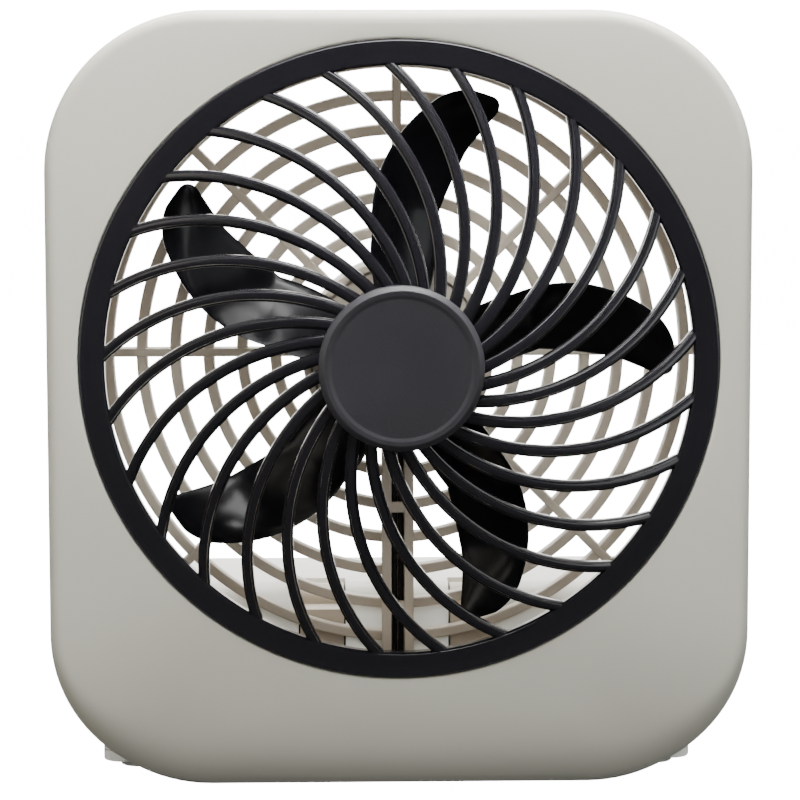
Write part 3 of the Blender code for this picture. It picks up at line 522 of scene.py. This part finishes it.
def grille_slats(bm):
    for index in range(SLATS):
        path = slat_path(index, HUB_RADIUS - 0.0015, RING_INNER + 0.0011, 26)
        sweep(bm, path, slat_section)


def grille_tabs(bm):
    for degrees in (38, 142, 218, 322):
        turn = Matrix.Rotation(math.radians(degrees), 4, "Z")
        rounded_box(bm, (0.0713, -0.0040, -0.0128), (0.0731, 0.0040, -0.0044), 0.0003, 2, turn)


def make_front_grille():
    grille = solid("spiral_grille", grille_ring, grille_hub, grille_slats, grille_tabs, space=HEAD)
    dress(grille, GRILLE_BLACK, "head", ["front_grille"], sharp=28)

    def disc(bm):
        profile = [
            (0.0004, BADGE_FRONT - 0.00035, 0), (BADGE_RADIUS - 0.0030, BADGE_FRONT - 0.00035, 0.001),
            (BADGE_RADIUS - 0.0022, BADGE_FRONT - 0.0001, 0.0006),
            (BADGE_RADIUS - 0.0012, BADGE_FRONT, 0.0005), (BADGE_RADIUS, BADGE_FRONT - 0.0010, 0.0006),
            (BADGE_RADIUS, HUB_FRONT + 0.0003, 0.0002),
            (0.0030, HUB_FRONT + 0.0003, 0), (0.0030, 0.0108, 0.0003), (0.0004, 0.0108, 0),
        ]
        lathe(bm, fillet(profile, closed=False), steps=128)

    badge = solid("centre_badge", disc, space=HEAD)
    dress(badge, BADGE_BLACK, "head", ["grille_badge"], sharp=35)


# ---------------------------------------------------------------- impeller


def blade_edges(radius):
    """Angles of a blade's straight and curved edges from its own direction, with round tip corners."""
    root, tip = max(0.033 - radius, 0), max(radius - 0.050, 0)
    lead = math.radians(-160 * max(radius - 0.033, 0) - 600 * root - 190 * tip)
    trail = math.radians(28.6 - 20.8 * (max(radius - 0.025, 0) / 0.035) ** 1.7 + 500 * max(0.030 - radius, 0))
    past = min(max(radius - (BLADE_TIP - BLADE_CORNER), 0) / BLADE_CORNER, 1)
    tip = BLADE_CORNER * (1 - math.sqrt(1 - past**2)) / radius
    return lead + tip, trail - tip


def blade_loop(radius, turn, thin=1.0, points=40):
    """A closed section across the blade at one radius: thin, cambered and round at its edges."""
    outwards = (radius - BLADE_ROOT) / (BLADE_TIP - BLADE_ROOT)
    lead, trail = blade_edges(radius)
    rear = -0.0120 - 0.0260 * outwards * (1 - outwards)
    front = -0.0030 - 0.0080 * outwards
    loop = []
    for step in range(points):
        around = math.tau * step / points
        across = 0.5 - 0.5 * math.copysign(abs(math.cos(around)) ** 0.75, math.cos(around))
        side = math.copysign(abs(math.sin(around)) ** 0.5, math.sin(around))
        camber = -0.0016 * math.sin(math.pi * across) * math.sin(math.pi * min(outwards + 0.15, 1))
        angle = BLADE_PHASE + turn + lead + (trail - lead) * across
        height = rear + (front - rear) * across + camber + side * BLADE_THICKNESS / 2 * thin
        loop.append(Vector((radius * math.cos(angle), radius * math.sin(angle), height)))
    return loop


def blades(bm):
    for index in range(BLADES):
        turn = math.tau * index / BLADES
        radii = [BLADE_ROOT + (BLADE_TIP - BLADE_CORNER - BLADE_ROOT) * i / 26 for i in range(26)]
        loops = [blade_loop(radius, turn) for radius in radii]
        for step in range(9):
            angle = math.radians(90) * step / 9
            radius = BLADE_TIP - BLADE_CORNER * (1 - math.sin(angle))
            loops.append(blade_loop(radius, turn, thin=math.cos(angle) ** 0.35))
        loft(bm, loops)


def impeller_cup(bm):
    inner = CUP_RADIUS - 0.0016
    profile = [
        (0.0004, 0.0075, 0), (0.0080, 0.0071, 0.002), (0.0145, 0.0056, 0.002), (CUP_RADIUS, 0.0025, 0.001),
        (CUP_RADIUS, CUP_REAR, 0.0003), (inner, CUP_REAR, 0.0003), (inner, 0.0020, 0.001),
        (0.0036, 0.0042, 0.0005), (0.0036, -0.0130, 0.0003), (0.0013, -0.0130, 0), (0.0013, 0.0034, 0),
        (0.0004, 0.0034, 0),
    ]
    lathe(bm, fillet(profile, closed=False), steps=96)


def make_impeller():
    impeller = solid("sickle_impeller", impeller_cup, blades, space=HEAD)
    dress(impeller, BLADE_BLACK, "fan_rotor", ["impeller"], sharp=40)


# ---------------------------------------------------------------- rear housing


def housing_shell(bm):
    room = margin(REAR_OPENING)
    reach = np.minimum(0.0060, room * 0.78)
    back = list(rounding(reach, 0.0065, power=2.2))
    loops = [inset(0.0002, PARTING - PARTING_GAP), inset(0.00005, PARTING - 0.0006), inset(0.0002, -0.0200)]
    for amount, drop in reversed(back):
        loops.append(inset(amount + 0.0006, REAR + drop))
    loops += [circle(REAR_OPENING + 0.0003, REAR), circle(REAR_OPENING, REAR + 0.0003)]
    loops += [circle(REAR_OPENING, REAR + WALL - 0.0003), circle(REAR_OPENING + 0.0003, REAR + WALL)]
    loops += [inset(reach + 0.0007, REAR + WALL), inset(0.0034, -0.0235), inset(0.0034, -0.0128)]
    loops += [inset(WALL + 0.0004, -0.0128), inset(WALL + 0.0004, PARTING - PARTING_GAP)]
    loft(bm, loops, wrap=True)


def rear_rings(bm):
    half = REAR_RING_WIDTH / 2
    for radius in REAR_RINGS:
        profile = [
            (radius - half * 0.8, GRILLE_FRONT, 0.0005), (radius + half * 0.8, GRILLE_FRONT, 0.0005),
            (radius + half, GRILLE_REAR, 0.0004), (radius - half, GRILLE_REAR, 0.0004),
        ]
        lathe(bm, fillet(profile), steps=160, wrap=True)


def rear_ribs(bm):
    half = RIB_WIDTH / 2
    front, rear = GRILLE_FRONT + 0.0003, GRILLE_REAR - 0.0002
    section = fillet([
        (half * 0.8, front, 0.0004), (half, rear, 0.0004),
        (-half, rear, 0.0004), (-half * 0.8, front, 0.0004),
    ])
    for eighth in (0, 1, 2, 3, 4, 5, 7):
        turn = Matrix.Rotation(math.radians(45) * eighth, 4, "Z")
        sweep(bm, [(POD_RADIUS - 0.0010, 0, 0), (REAR_OPENING + 0.0010, 0, 0)], section, at=turn)


def motor_pod(bm):
    inner = POD_RADIUS - 0.0018
    profile = [
        (0.0004, POD_REAR + 0.0018, 0), (inner, POD_REAR + 0.0018, 0.0005), (inner, POD_FRONT, 0.0004),
        (POD_RADIUS, POD_FRONT, 0.0005), (POD_RADIUS, POD_REAR, 0.0028), (0.0004, POD_REAR, 0),
    ]
    lathe(bm, fillet(profile, closed=False, steps=6), steps=120)


def pod_inside(bm):
    for quarter in range(4):
        turn = Matrix.Rotation(math.radians(45 + 90 * quarter), 4, "Z")
        high = (POD_RADIUS - 0.0013, 0.0010, -0.0185)
        rounded_box(bm, (0.0163, -0.0010, POD_REAR + 0.0010), high, 0.0002, 2, turn)
    for side in (-1, 1):
        at = Matrix.Translation((side * MOTOR_SCREW_X, 0, 0))
        lathe(bm, [(0.0023, POD_REAR + 0.0010), (0.0023, -0.0181)], steps=32, at=at)


def channel_walls(bm):
    end = -(REAR_OPENING + 0.0080)
    for side in (-1, 1):
        near, far = sorted((side * 0.0015, side * 0.00375))
        high = (far, -POD_RADIUS + 0.0010, -0.0220)
        rounded_box(bm, (near, end - 0.0003, GRILLE_REAR + 0.0001), high, 0.0003, 2)


def channel_floor(bm):
    end = -(REAR_OPENING + 0.0080)
    rounded_box(bm, (-0.0020, end, GRILLE_REAR - 0.0001), (0.0020, -POD_RADIUS + 0.0012, -0.0277), 0)
    for middle in (REAR_RINGS[1], REAR_RINGS[4]):
        rounded_box(bm, (-0.0020, -middle - 0.0013, -0.0234), (0.0020, -middle + 0.0013, -0.0222), 0.0003, 2)


SCREWS = {
    "top_left": (-0.064, 0.062), "top_right": (0.064, 0.062),
    "bottom_left": (-0.064, -0.084), "bottom_right": (0.064, -0.084),
}


def housing_bosses(bm):
    for x, y in SCREWS.values():
        lathe(bm, [(0.0040, -0.0287), (0.0040, -0.0170)], steps=40, at=Matrix.Translation((x, y, 0)))


def housing_holes(bm):
    profile = [
        (0.0034, -0.0310), (0.0034, -0.0299), (0.0030, -0.0295), (0.0030, -0.0260), (0.0016, -0.0260),
        (0.0016, -0.0160),
    ]
    for x, y in SCREWS.values():
        lathe(bm, profile, steps=40, at=Matrix.Translation((x, y, 0)))


def lugs(bm):
    """Two arms from the rear wall, each ending in a round barrel on the hinge axis."""
    pivot_y, pivot_z = PIVOT.z - AXIS_Z, BEZEL_Y - PIVOT.y
    low = LUG_BOTTOM_Z - AXIS_Z
    profile = [(low, LUG_REAR), (low, pivot_z + 0.0006), (low + 0.0006, pivot_z)]
    profile.append((pivot_y - 0.0005, pivot_z - LUG_BARREL * 0.99))
    for step in range(1, 13):
        angle = math.radians(-90 + 180 * step / 12)
        profile.append((pivot_y + LUG_BARREL * math.cos(angle), pivot_z + LUG_BARREL * math.sin(angle)))
    profile.append((pivot_y - 0.0010, LUG_REAR))
    centre = Vector(((low + pivot_y) / 2, (pivot_z + LUG_REAR) / 2))
    for side in (-1, 1):
        loops = []
        for x, size in ((-0.00525, 0.985), (-0.00495, 1), (0.00495, 1), (0.00525, 0.985)):
            flat = [centre + (Vector(point) - centre) * size for point in profile]
            loops.append([Vector((side * LUG_X + x, y, z)) for y, z in flat])
        loft(bm, loops)


def along_x(y, z):
    return Matrix.Translation((0, y, z)) @ Matrix.Rotation(math.radians(90), 4, "Y")


def lug_bore(bm):
    at = along_x(PIVOT.z - AXIS_Z, BEZEL_Y - PIVOT.y)
    lathe(bm, [(PIN_BORE, -0.03), (PIN_BORE, 0.03)], steps=40, at=at)


def wire_pass(bm):
    at = Matrix.Translation((0, WIRE_PASS_Z - AXIS_Z, 0))
    lathe(bm, [(WIRE_PASS_RADIUS, -0.0310), (WIRE_PASS_RADIUS, -0.0270)], steps=40, at=at)


def wire_notch(bm):
    rounded_box(bm, (-0.0016, -0.0240, -0.0275), (0.0016, -0.0190, -0.0215), 0)


def make_rear_housing():
    housing = solid(
        "rear_casing", housing_shell, rear_rings, rear_ribs, motor_pod, pod_inside, channel_walls,
        channel_floor, housing_bosses, lugs, space=HEAD,
        cuts=(housing_holes, lug_bore, wire_pass, wire_notch),
    )
    dress(housing, REAR_BEIGE, "head", ["rear_housing"], sharp=35)


# ---------------------------------------------------------------- screws and motor


def make_screw(node, at, shank, head, head_bottom, head_top, end, space, body):
    """A pan-head screw with a cross recess; its head points along the direction from end to head_top."""
    out = 1 if head_top > end else -1
    crown = head_top - out * 0.0004

    def turned(bm):
        profile = [
            (0.0001, end, 0), (shank, end + out * 0.0005, 0), (shank, head_bottom, 0),
            (head, head_bottom, 0.0001), (head, crown, 0.0003), (head * 0.7, head_top, 0.0004),
            (0.0001, head_top, 0),
        ]
        lathe(bm, fillet(profile, closed=False), steps=36, at=at)

    def recess(x, y):
        low, high = (-x, -y, head_top - out * 0.0008), (x, y, head_top + out * 0.0005)
        return lambda bm: rounded_box(bm, low, high, 0, at=at)

    arms = (recess(head * 0.6, head * 0.13), recess(head * 0.13, head * 0.6))
    screw = solid(f"{node}_piece", turned, space=space, cuts=arms)
    dress(screw, ZINC, body, [node], sharp=35)


def make_screws():
    for place, (x, y) in SCREWS.items():
        at = Matrix.Translation((x, y, 0))
        make_screw(f"head_screw_{place}", at, 0.0013, 0.0027, -0.0263, -0.0282, -0.0080, HEAD, "head")
    for side in ("left", "right"):
        low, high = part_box(f"motor_screw_{side}")
        at = Matrix.Translation(((low.x + high.x) / 2, 0, 0))
        make_screw(f"motor_screw_{side}", at, 0.0008, 0.0016, -0.0163, -0.0154, -0.0250, HEAD, "head")
        for end in ("front", "rear"):
            node = f"base_screw_{end}_{side}"
            make_screw(node, under(node), 0.0010, 0.0022, 0.0026, 0.0015, 0.0090, WORLD, "base")


def make_motor():
    """The motor's outer pieces are remade smooth; its sealed inner pieces keep their CAD solids."""

    def can(bm):
        profile = [
            (0.0030, -0.0181, 0.0001), (0.0160, -0.0181, 0.0012), (0.0160, -0.0315, 0.0002),
            (0.0152, -0.0315, 0.0001), (0.0152, -0.0190, 0.0005), (0.0030, -0.0190, 0.0001),
        ]
        lathe(bm, fillet(profile), steps=96, wrap=True)

    dress(solid("motor_can_shell", can, space=HEAD), ZINC, "head", ["motor_can"], sharp=35)

    def retainer(bm):
        outer = POD_RADIUS - 0.0021
        profile = [
            (0.0031, -0.0166, 0.0003), (outer, -0.0166, 0.0003), (outer, -0.0178, 0.0001),
            (0.0031, -0.0178, 0.0001),
        ]
        lathe(bm, fillet(profile), steps=96, wrap=True)

    def retainer_holes(bm):
        for side in (-1, 1):
            at = Matrix.Translation((side * MOTOR_SCREW_X, 0, 0))
            lathe(bm, [(0.0011, -0.02), (0.0011, -0.01)], steps=24, at=at)

    plate = solid("retainer_plate", retainer, space=HEAD, cuts=(retainer_holes,))
    dress(plate, REAR_BEIGE, "head", ["motor_retainer"], sharp=35)


def smooth_path(points, per_span=6):
    """A Catmull-Rom line through given points."""
    ends = [Vector(points[0]) * 2 - Vector(points[1])] + [Vector(p) for p in points]
    ends.append(Vector(points[-1]) * 2 - Vector(points[-2]))
    line = []
    for a, b, c, d in zip(ends, ends[1:], ends[2:], ends[3:]):
        for step in range(per_span):
            t = step / per_span
            square, cube = 2 * a - 5 * b + 4 * c - d, 3 * b - 3 * c + d - a
            line.append(0.5 * (2 * b + (c - a) * t + square * t**2 + cube * t**3))
    return line + [Vector(points[-1])]


def make_wire(node, points, space, body, radius=0.0006):
    curve = bpy.data.curves.new(f"{node}_lead", "CURVE")
    curve.dimensions = "3D"
    curve.bevel_depth = radius
    curve.bevel_resolution = 3
    curve.use_fill_caps = True
    line = [space @ point for point in smooth_path(points)]
    spline = curve.splines.new("POLY")
    spline.points.add(len(line) - 1)
    for point, place in zip(spline.points, line):
        point.co = (*place, 1)
    wire = bpy.data.objects.new(f"{node}_lead", curve)
    bpy.context.scene.collection.objects.link(wire)
    dress(wire, WIRE_BLACK, body, [node])


def make_wires():
    exit_y = WIRE_PASS_Z - AXIS_Z
    for side, name in ((-1, "left"), (1, "right")):
        x = side * 0.00075
        points = [
            (side * 0.0090, -0.0025, -0.0350), (side * 0.0075, -0.0070, -0.0351),
            (side * 0.0035, -0.0140, -0.0350), (x * 1.2, -0.0170, -0.0340), (x, -0.0183, -0.0315),
            (x, -0.0186, -0.0270), (x, -0.0200, -0.0250), (x, -0.0230, -0.0247),
            (x, exit_y + 0.0030, -0.0250), (x, exit_y + 0.0010, -0.0256), (x, exit_y, -0.0272),
            (x, exit_y, -0.0297),
        ]
        make_wire(f"motor_wire_{name}", points, HEAD, "head")


# ---------------------------------------------------------------- base


def open_box(bm, low, high, radius, segments):
    """A box with all its edges rounded but those round its bottom."""
    rounded_box(bm, low, high, 0)
    middle = (high.z + low.z) / 2
    bevel(bm, [e for e in bm.edges if not all(v.co.z < middle for v in e.verts)], radius, segments)


def base_outer(bm):
    open_box(bm, shell_low, shell_high, BASE_ROUND, 10)


def base_cavity(bm):
    low = shell_low + Vector((WALL, WALL, -0.01))
    open_box(bm, low, shell_high - Vector((WALL, WALL, WALL)), BASE_ROUND - WALL, 8)


def base_slots(bm):
    for side in (-1, 1):
        low = (side * LUG_X - SLOT_HALF, -0.001, SLOT_BOTTOM_Z)
        high = (side * LUG_X + SLOT_HALF, SLOT_REAR_Y, 0.05)
        rounded_box(bm, low, high, 0.0007, 3)


def base_holes(bm):
    wire_at = Matrix.Translation((0, 0, WIRE_PASS_Z)) @ Matrix.Rotation(math.radians(-90), 4, "X")
    lathe(bm, [(WIRE_PASS_RADIUS, 0), (WIRE_PASS_RADIUS, 0.0050)], steps=32, at=wire_at)
    jack_low, jack_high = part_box("dc_jack")
    centre = (jack_low + jack_high) / 2
    lathe(bm, [(0.0033, -0.0720), (0.0033, -0.0680)], steps=48, at=along_x(centre.y, centre.z))
    low = (0.0680, KNOB.y - 0.0043, KNOB.z - 0.0015)
    rounded_box(bm, low, (0.0720, KNOB.y + 0.0043, KNOB.z + 0.0015), 0)


def knuckles(bm):
    for side in (-1, 1):
        at = Matrix.Translation((side * LUG_X, 0, 0)) @ along_x(PIVOT.y, PIVOT.z)
        lathe(bm, [(BASE_ROUND - 0.0003, -0.0084), (BASE_ROUND - 0.0003, 0.0084)], steps=48, at=at)


def pin_bore(bm):
    lathe(bm, [(PIN_BORE, -0.0280), (PIN_BORE, 0.0280)], steps=40, at=along_x(PIVOT.y, PIVOT.z))


def switch_recess(bm):
    """A shallow trough round the speed switch."""
    low = (0.0706, KNOB.y - 0.0080, KNOB.z - 0.0036)
    rounded_box(bm, low, (0.0730, KNOB.y + 0.0080, KNOB.z + 0.0036), 0.0003, 2)


def make_base():
    cover_cuts = (base_cavity, base_slots, pin_bore, base_holes, switch_recess)
    cover = solid("base_cover", base_outer, cuts=cover_cuts)
    dress(cover, BASE_GREY, "base", ["base_shell"], sharp=35)
    knuckle = solid("hinge_knuckles", knuckles, cuts=(base_slots, pin_bore))
    dress(knuckle, BASE_GREY, "base", sharp=35)
    make_base_bottom()
    make_knob_and_jack()
    make_feet()


def under(node):
    """A place on the floor below the middle of a CAD node."""
    low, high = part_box(node)
    return Matrix.Translation(((low.x + high.x) / 2, (low.y + high.y) / 2, 0))


def make_base_bottom():
    """The bottom plate, with its door opening, feet and screw recesses, and the door that slides in it."""
    low, high = plate_low, plate_high

    def plate(bm):
        rounded_box(bm, low, high, 0)
        bevel(bm, [e for e in bm.edges if abs(e.verts[0].co.z - e.verts[1].co.z) > 0.001], BASE_ROUND, 10)
        bevel(bm, [e for e in bm.edges if all(v.co.z < low.z + 1e-6 for v in e.verts)], 0.0005, 3)

    def door(bm, grow=0.0, rear=0.0, above=0.0, soft=0.0):
        """A slab that is wider at its top, so that it hangs in its opening."""
        half = (door_high.x - door_low.x) / 2
        near = (-half, door_low.y - grow, low.z - above)
        for vert in rounded_box(bm, near, (half, door_high.y + rear, high.z + above), 0):
            vert.co.x = math.copysign(half + grow + (vert.co.z - high.z) * 0.4, vert.co.x)
        if soft:
            bevel(bm, list(bm.edges), soft, 2)

    def opening(bm):
        door(bm, grow=0.0003, rear=0.002, above=0.0005)

    def recesses(bm):
        profile = [(0.0028, 0.0010), (0.0025, 0.0017), (0.0025, 0.0029), (0.0013, 0.0029), (0.0013, 0.0050)]
        for side in ("left", "right"):
            for end in ("front", "rear"):
                lathe(bm, [(0.0048, 0), (0.0048, 0.0024)], steps=48, at=under(f"foot_{end}_{side}"))
                lathe(bm, profile, steps=32, at=under(f"base_screw_{end}_{side}"))

    bottom = solid("base_plate", plate, cuts=(opening, recesses))
    dress(bottom, BASE_GREY, "base", ["base_bottom"], sharp=35)

    def grip(bm):
        for ridge in range(4):
            y = 0.0300 + 0.0020 * ridge
            rounded_box(bm, (-0.0080, y, 0), (0.0080, y + 0.0010, 0.0019), 0.0003, 2)

    lid = solid("sliding_door", lambda bm: door(bm, soft=0.0003), cuts=(grip,))
    dress(lid, BASE_GREY, "door", ["battery_door"], sharp=35)


def make_knob_and_jack():
    def block(bm, near, far, y, half_y, half_z, radius, segments):
        low, high = (near, y - half_y, KNOB.z - half_z), (far, y + half_y, KNOB.z + half_z)
        rounded_box(bm, low, high, radius, segments)

    def cap(bm):
        block(bm, 0.0713, knob_high.x - 0.0006, KNOB.y, 0.0040, 0.0025, 0.0004, 3)

    def ridges(bm):
        for step in (-1, 0, 1):
            y = KNOB.y + step * 0.0022
            block(bm, knob_high.x - 0.0011, knob_high.x, y, 0.0005, 0.0021, 0.0003, 3)

    def neck(bm):
        block(bm, knob_low.x, 0.0720, KNOB.y, 0.0015, 0.0012, 0.0002, 2)

    knob = solid("speed_knob_cap", cap, ridges, neck)
    dress(knob, KNOB_BLACK, "speed_knob", ["switch_knob"], sharp=35)

    low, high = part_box("dc_jack")
    middle = (low + high) / 2

    def body(bm):
        rounded_box(bm, (-0.0687, low.y, low.z), (high.x, high.y, high.z), 0.0003, 2)

    def nose(bm):
        profile = [(0.0030, low.x, 0.0003), (0.0030, -0.0680, 0), (0.0001, -0.0680, 0), (0.0001, low.x, 0)]
        lathe(bm, fillet(profile)[:-2], steps=48, at=along_x(middle.y, middle.z))

    def socket(bm):
        profile = [(0.0008, -0.0720), (0.0024, -0.0720), (0.0024, -0.0640), (0.0008, -0.0640)]
        lathe(bm, profile, steps=40, wrap=True, at=along_x(middle.y, middle.z))

    jack = solid("power_inlet", body, nose, cuts=(socket,))
    dress(jack, WIRE_BLACK, "base", ["dc_jack"], sharp=35)


def make_feet():
    for end in ("front", "rear"):
        for side in ("left", "right"):
            node = f"foot_{end}_{side}"
            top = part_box(node)[1].z

            def pad(bm):
                profile = [(0.0001, 0, 0), (0.0045, 0, 0.0007), (0.0045, top, 0.0002), (0.0001, top, 0)]
                lathe(bm, fillet(profile, closed=False), steps=48, at=under(node))

            dress(solid(f"{node}_pad", pad), RUBBER, "base", [node], sharp=35)


def make_pin():
    def rod(bm):
        half = pin_high.x
        profile = [(0.0001, -half, 0), (0.0015, -half, 0.0003), (0.0015, half, 0.0003), (0.0001, half, 0)]
        lathe(bm, fillet(profile, closed=False), steps=40, at=along_x(PIVOT.y, PIVOT.z))

    dress(solid("hinge_rod", rod), STEEL, "base", ["hinge_pin"], sharp=35)


def dress_kept_nodes():
    """CAD nodes that are seen little or not at all keep their solids and get the same materials."""
    kinds = {
        ZINC: ["battery_spring", "battery_contact_positive", "battery_contact_negative"],
        BRASS: ["motor_bushing_front", "motor_bushing_rear", "motor_terminal_left", "motor_terminal_right"],
        COPPER: ["commutator", "motor_brush_left", "motor_brush_right"],
        FERRITE: ["motor_magnet_left", "motor_magnet_right"],
        STEEL: ["motor_shaft", "armature_core"],
        NYLON: ["motor_end_cap"],
        CERAMIC: ["speed_resistor"],
        SLEEVE: ["battery_left", "battery_right"],
        WIRE_BLACK: [
            "switch_body", "wire_switch_to_resistor", "wire_resistor_to_hinge", "wire_spring_to_hinge",
        ],
    }
    for material, names in kinds.items():
        for name in names:
            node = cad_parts[name]
            node.data.materials.clear()
            node.data.materials.append(material)


# ---------------------------------------------------------------- stage


def stage_mesh(name, bm, material):
    """A stage piece that the camera sees, but that neither lights the fan nor shows in its gloss."""
    mesh = bpy.data.meshes.new(name)
    bm.to_mesh(mesh)
    bm.free()
    mesh.materials.append(material)
    obj = bpy.data.objects.new(name, mesh)
    bpy.context.scene.collection.objects.link(obj)
    obj.visible_diffuse = False
    obj.visible_glossy = False


def fade(tree, value, start, end, low, high):
    """A smooth step of a value from low to high between start and end."""
    step = tree.nodes.new("ShaderNodeMapRange")
    step.interpolation_type = "SMOOTHSTEP"
    for name, number in (("From Min", start), ("From Max", end), ("To Min", low), ("To Max", high)):
        step.inputs[name].default_value = number
    tree.links.new(value, step.inputs["Value"])
    return step.outputs["Result"]


def white_material(name):
    material, shader = new_material(name, (0.8, 0.8, 0.8), 0.6, specular=0.2)
    tree = material.node_tree
    tint(tree, noise(tree, 3, 2), (0.79, 0.79, 0.79), (0.81, 0.81, 0.81), shader.inputs["Base Color"])
    shader.inputs["Emission Color"].default_value = (1, 1, 1, 1)
    return material, shader


def make_floor():
    """A pale floor, lit from below behind the fan like a light table, and a white wall far round it."""
    material, shader = white_material("floor_white")
    tree = material.node_tree
    place = tree.nodes.new("ShaderNodeTexCoord")
    split = tree.nodes.new("ShaderNodeSeparateXYZ")
    tree.links.new(place.outputs["Object"], split.inputs["Vector"])
    glow = fade(tree, split.outputs["Y"], *FLOOR_FADE, FRONT_GLOW, FLOOR_GLOW)
    tree.links.new(glow, shader.inputs["Emission Strength"])
    bm = bmesh.new()
    bmesh.ops.create_grid(bm, x_segments=1, y_segments=1, size=FLOOR_REACH)
    stage_mesh("floor", bm, material)
    material, shader = white_material("wall_white")
    shader.inputs["Emission Strength"].default_value = WALL_GLOW
    bm = bmesh.new()
    bmesh.ops.create_cone(
        bm, cap_ends=False, segments=64, radius1=FLOOR_REACH, radius2=FLOOR_REACH, depth=FLOOR_REACH,
        matrix=Matrix.Translation((0, 0, FLOOR_REACH / 2)),
    )
    stage_mesh("wall", bm, material)


def area_light(name, place, aim, size, power, colour=(1, 1, 1), lit_only=()):
    """A soft light that the camera doesn't see. It lights everything, or only the pieces in lit_only."""
    light = bpy.data.lights.new(name, "AREA")
    light.shape = "RECTANGLE"
    light.size, light.size_y = size
    light.energy = power
    light.color = colour
    obj = bpy.data.objects.new(name, light)
    obj.location = place
    obj.rotation_euler = (Vector(aim) - Vector(place)).to_track_quat("-Z", "Y").to_euler()
    obj.visible_camera = False
    bpy.context.scene.collection.objects.link(obj)
    if lit_only:
        pieces = bpy.data.collections.new(f"{name}_lights")
        for piece in lit_only:
            pieces.objects.link(bpy.data.objects[piece])
        obj.light_linking.receiver_collection = pieces


def make_lights():
    """A dim surround, softboxes above, at the sides and behind, and two for what the grille shows."""
    world = bpy.data.worlds.new("studio")
    world.use_nodes = True
    tree = world.node_tree
    place = tree.nodes.new("ShaderNodeTexCoord")
    split = tree.nodes.new("ShaderNodeSeparateXYZ")
    tree.links.new(place.outputs["Generated"], split.inputs["Vector"])
    background = tree.nodes["Background"]
    background.inputs["Color"].default_value = (1, 1, 1, 1)
    strength = fade(tree, split.outputs["Z"], -0.3, 0.0, SKY_BELOW, SKY_ABOVE)
    tree.links.new(strength, background.inputs["Strength"])
    bpy.context.scene.world = world
    area_light("softbox_top", (0.03, -0.12, 0.38), (0.0, -0.09, 0.0), (0.40, 0.10), 3.6)
    area_light("softbox_left", (-0.50, -0.36, 0.30), (0.0, -0.03, 0.12), (0.40, 0.50), 1.5, (1.0, 0.96, 0.84))
    area_light("softbox_right", (0.50, -0.36, 0.32), (0.0, -0.03, 0.13), (0.40, 0.50), 2.0, (0.97, 1.0, 0.99))
    area_light("softbox_back", (-0.05, 0.16, 0.50), (0.0, 0.04, 0.05), (0.50, 0.30), 5)
    area_light("softbox_rear", (0.0, 0.60, 0.20), (0.0, 0.0, 0.10), (0.60, 0.50), 4, (1.0, 0.97, 0.92))
    area_light(
        "softbox_base", (0.0, -0.25, 0.12), (0.0, 0.01, 0.04), (0.30, 0.12), 1.0,
        lit_only=["base_cover", "base_plate"],
    )
    area_light(
        "softbox_rings", (0.0, -0.30, 0.16), (0.0, 0.0, 0.11), (0.30, 0.30), 0.45, (1.0, 0.92, 0.84),
        lit_only=["rear_casing"],
    )


def make_camera():
    """Far off and a little above and left of the fan, as a product is shot with a long lens."""
    pitch, yaw = math.radians(CAMERA_PITCH), math.radians(CAMERA_YAW)
    aim = Vector((0, BEZEL_Y, AXIS_Z - CAMERA_DROP))
    back = Vector((-math.sin(yaw) * math.cos(pitch), -math.cos(yaw) * math.cos(pitch), math.sin(pitch)))
    camera = bpy.data.objects.new("camera", bpy.data.cameras.new("camera"))
    camera.data.lens = CAMERA_LENS
    camera.data.clip_start = 0.01
    camera.location = aim + back * CAMERA_DISTANCE
    turn = (-back).to_track_quat("-Z", "Y").to_matrix().to_4x4()
    camera.rotation_euler = (turn @ Matrix.Rotation(math.radians(CAMERA_ROLL), 4, "Z")).to_euler()
    bpy.context.scene.collection.objects.link(camera)
    bpy.context.scene.camera = camera


make_bezel()
make_front_grille()
make_impeller()
make_rear_housing()
make_screws()
make_motor()
make_wires()
make_base()
make_pin()
dress_kept_nodes()
make_floor()
make_lights()
make_camera()
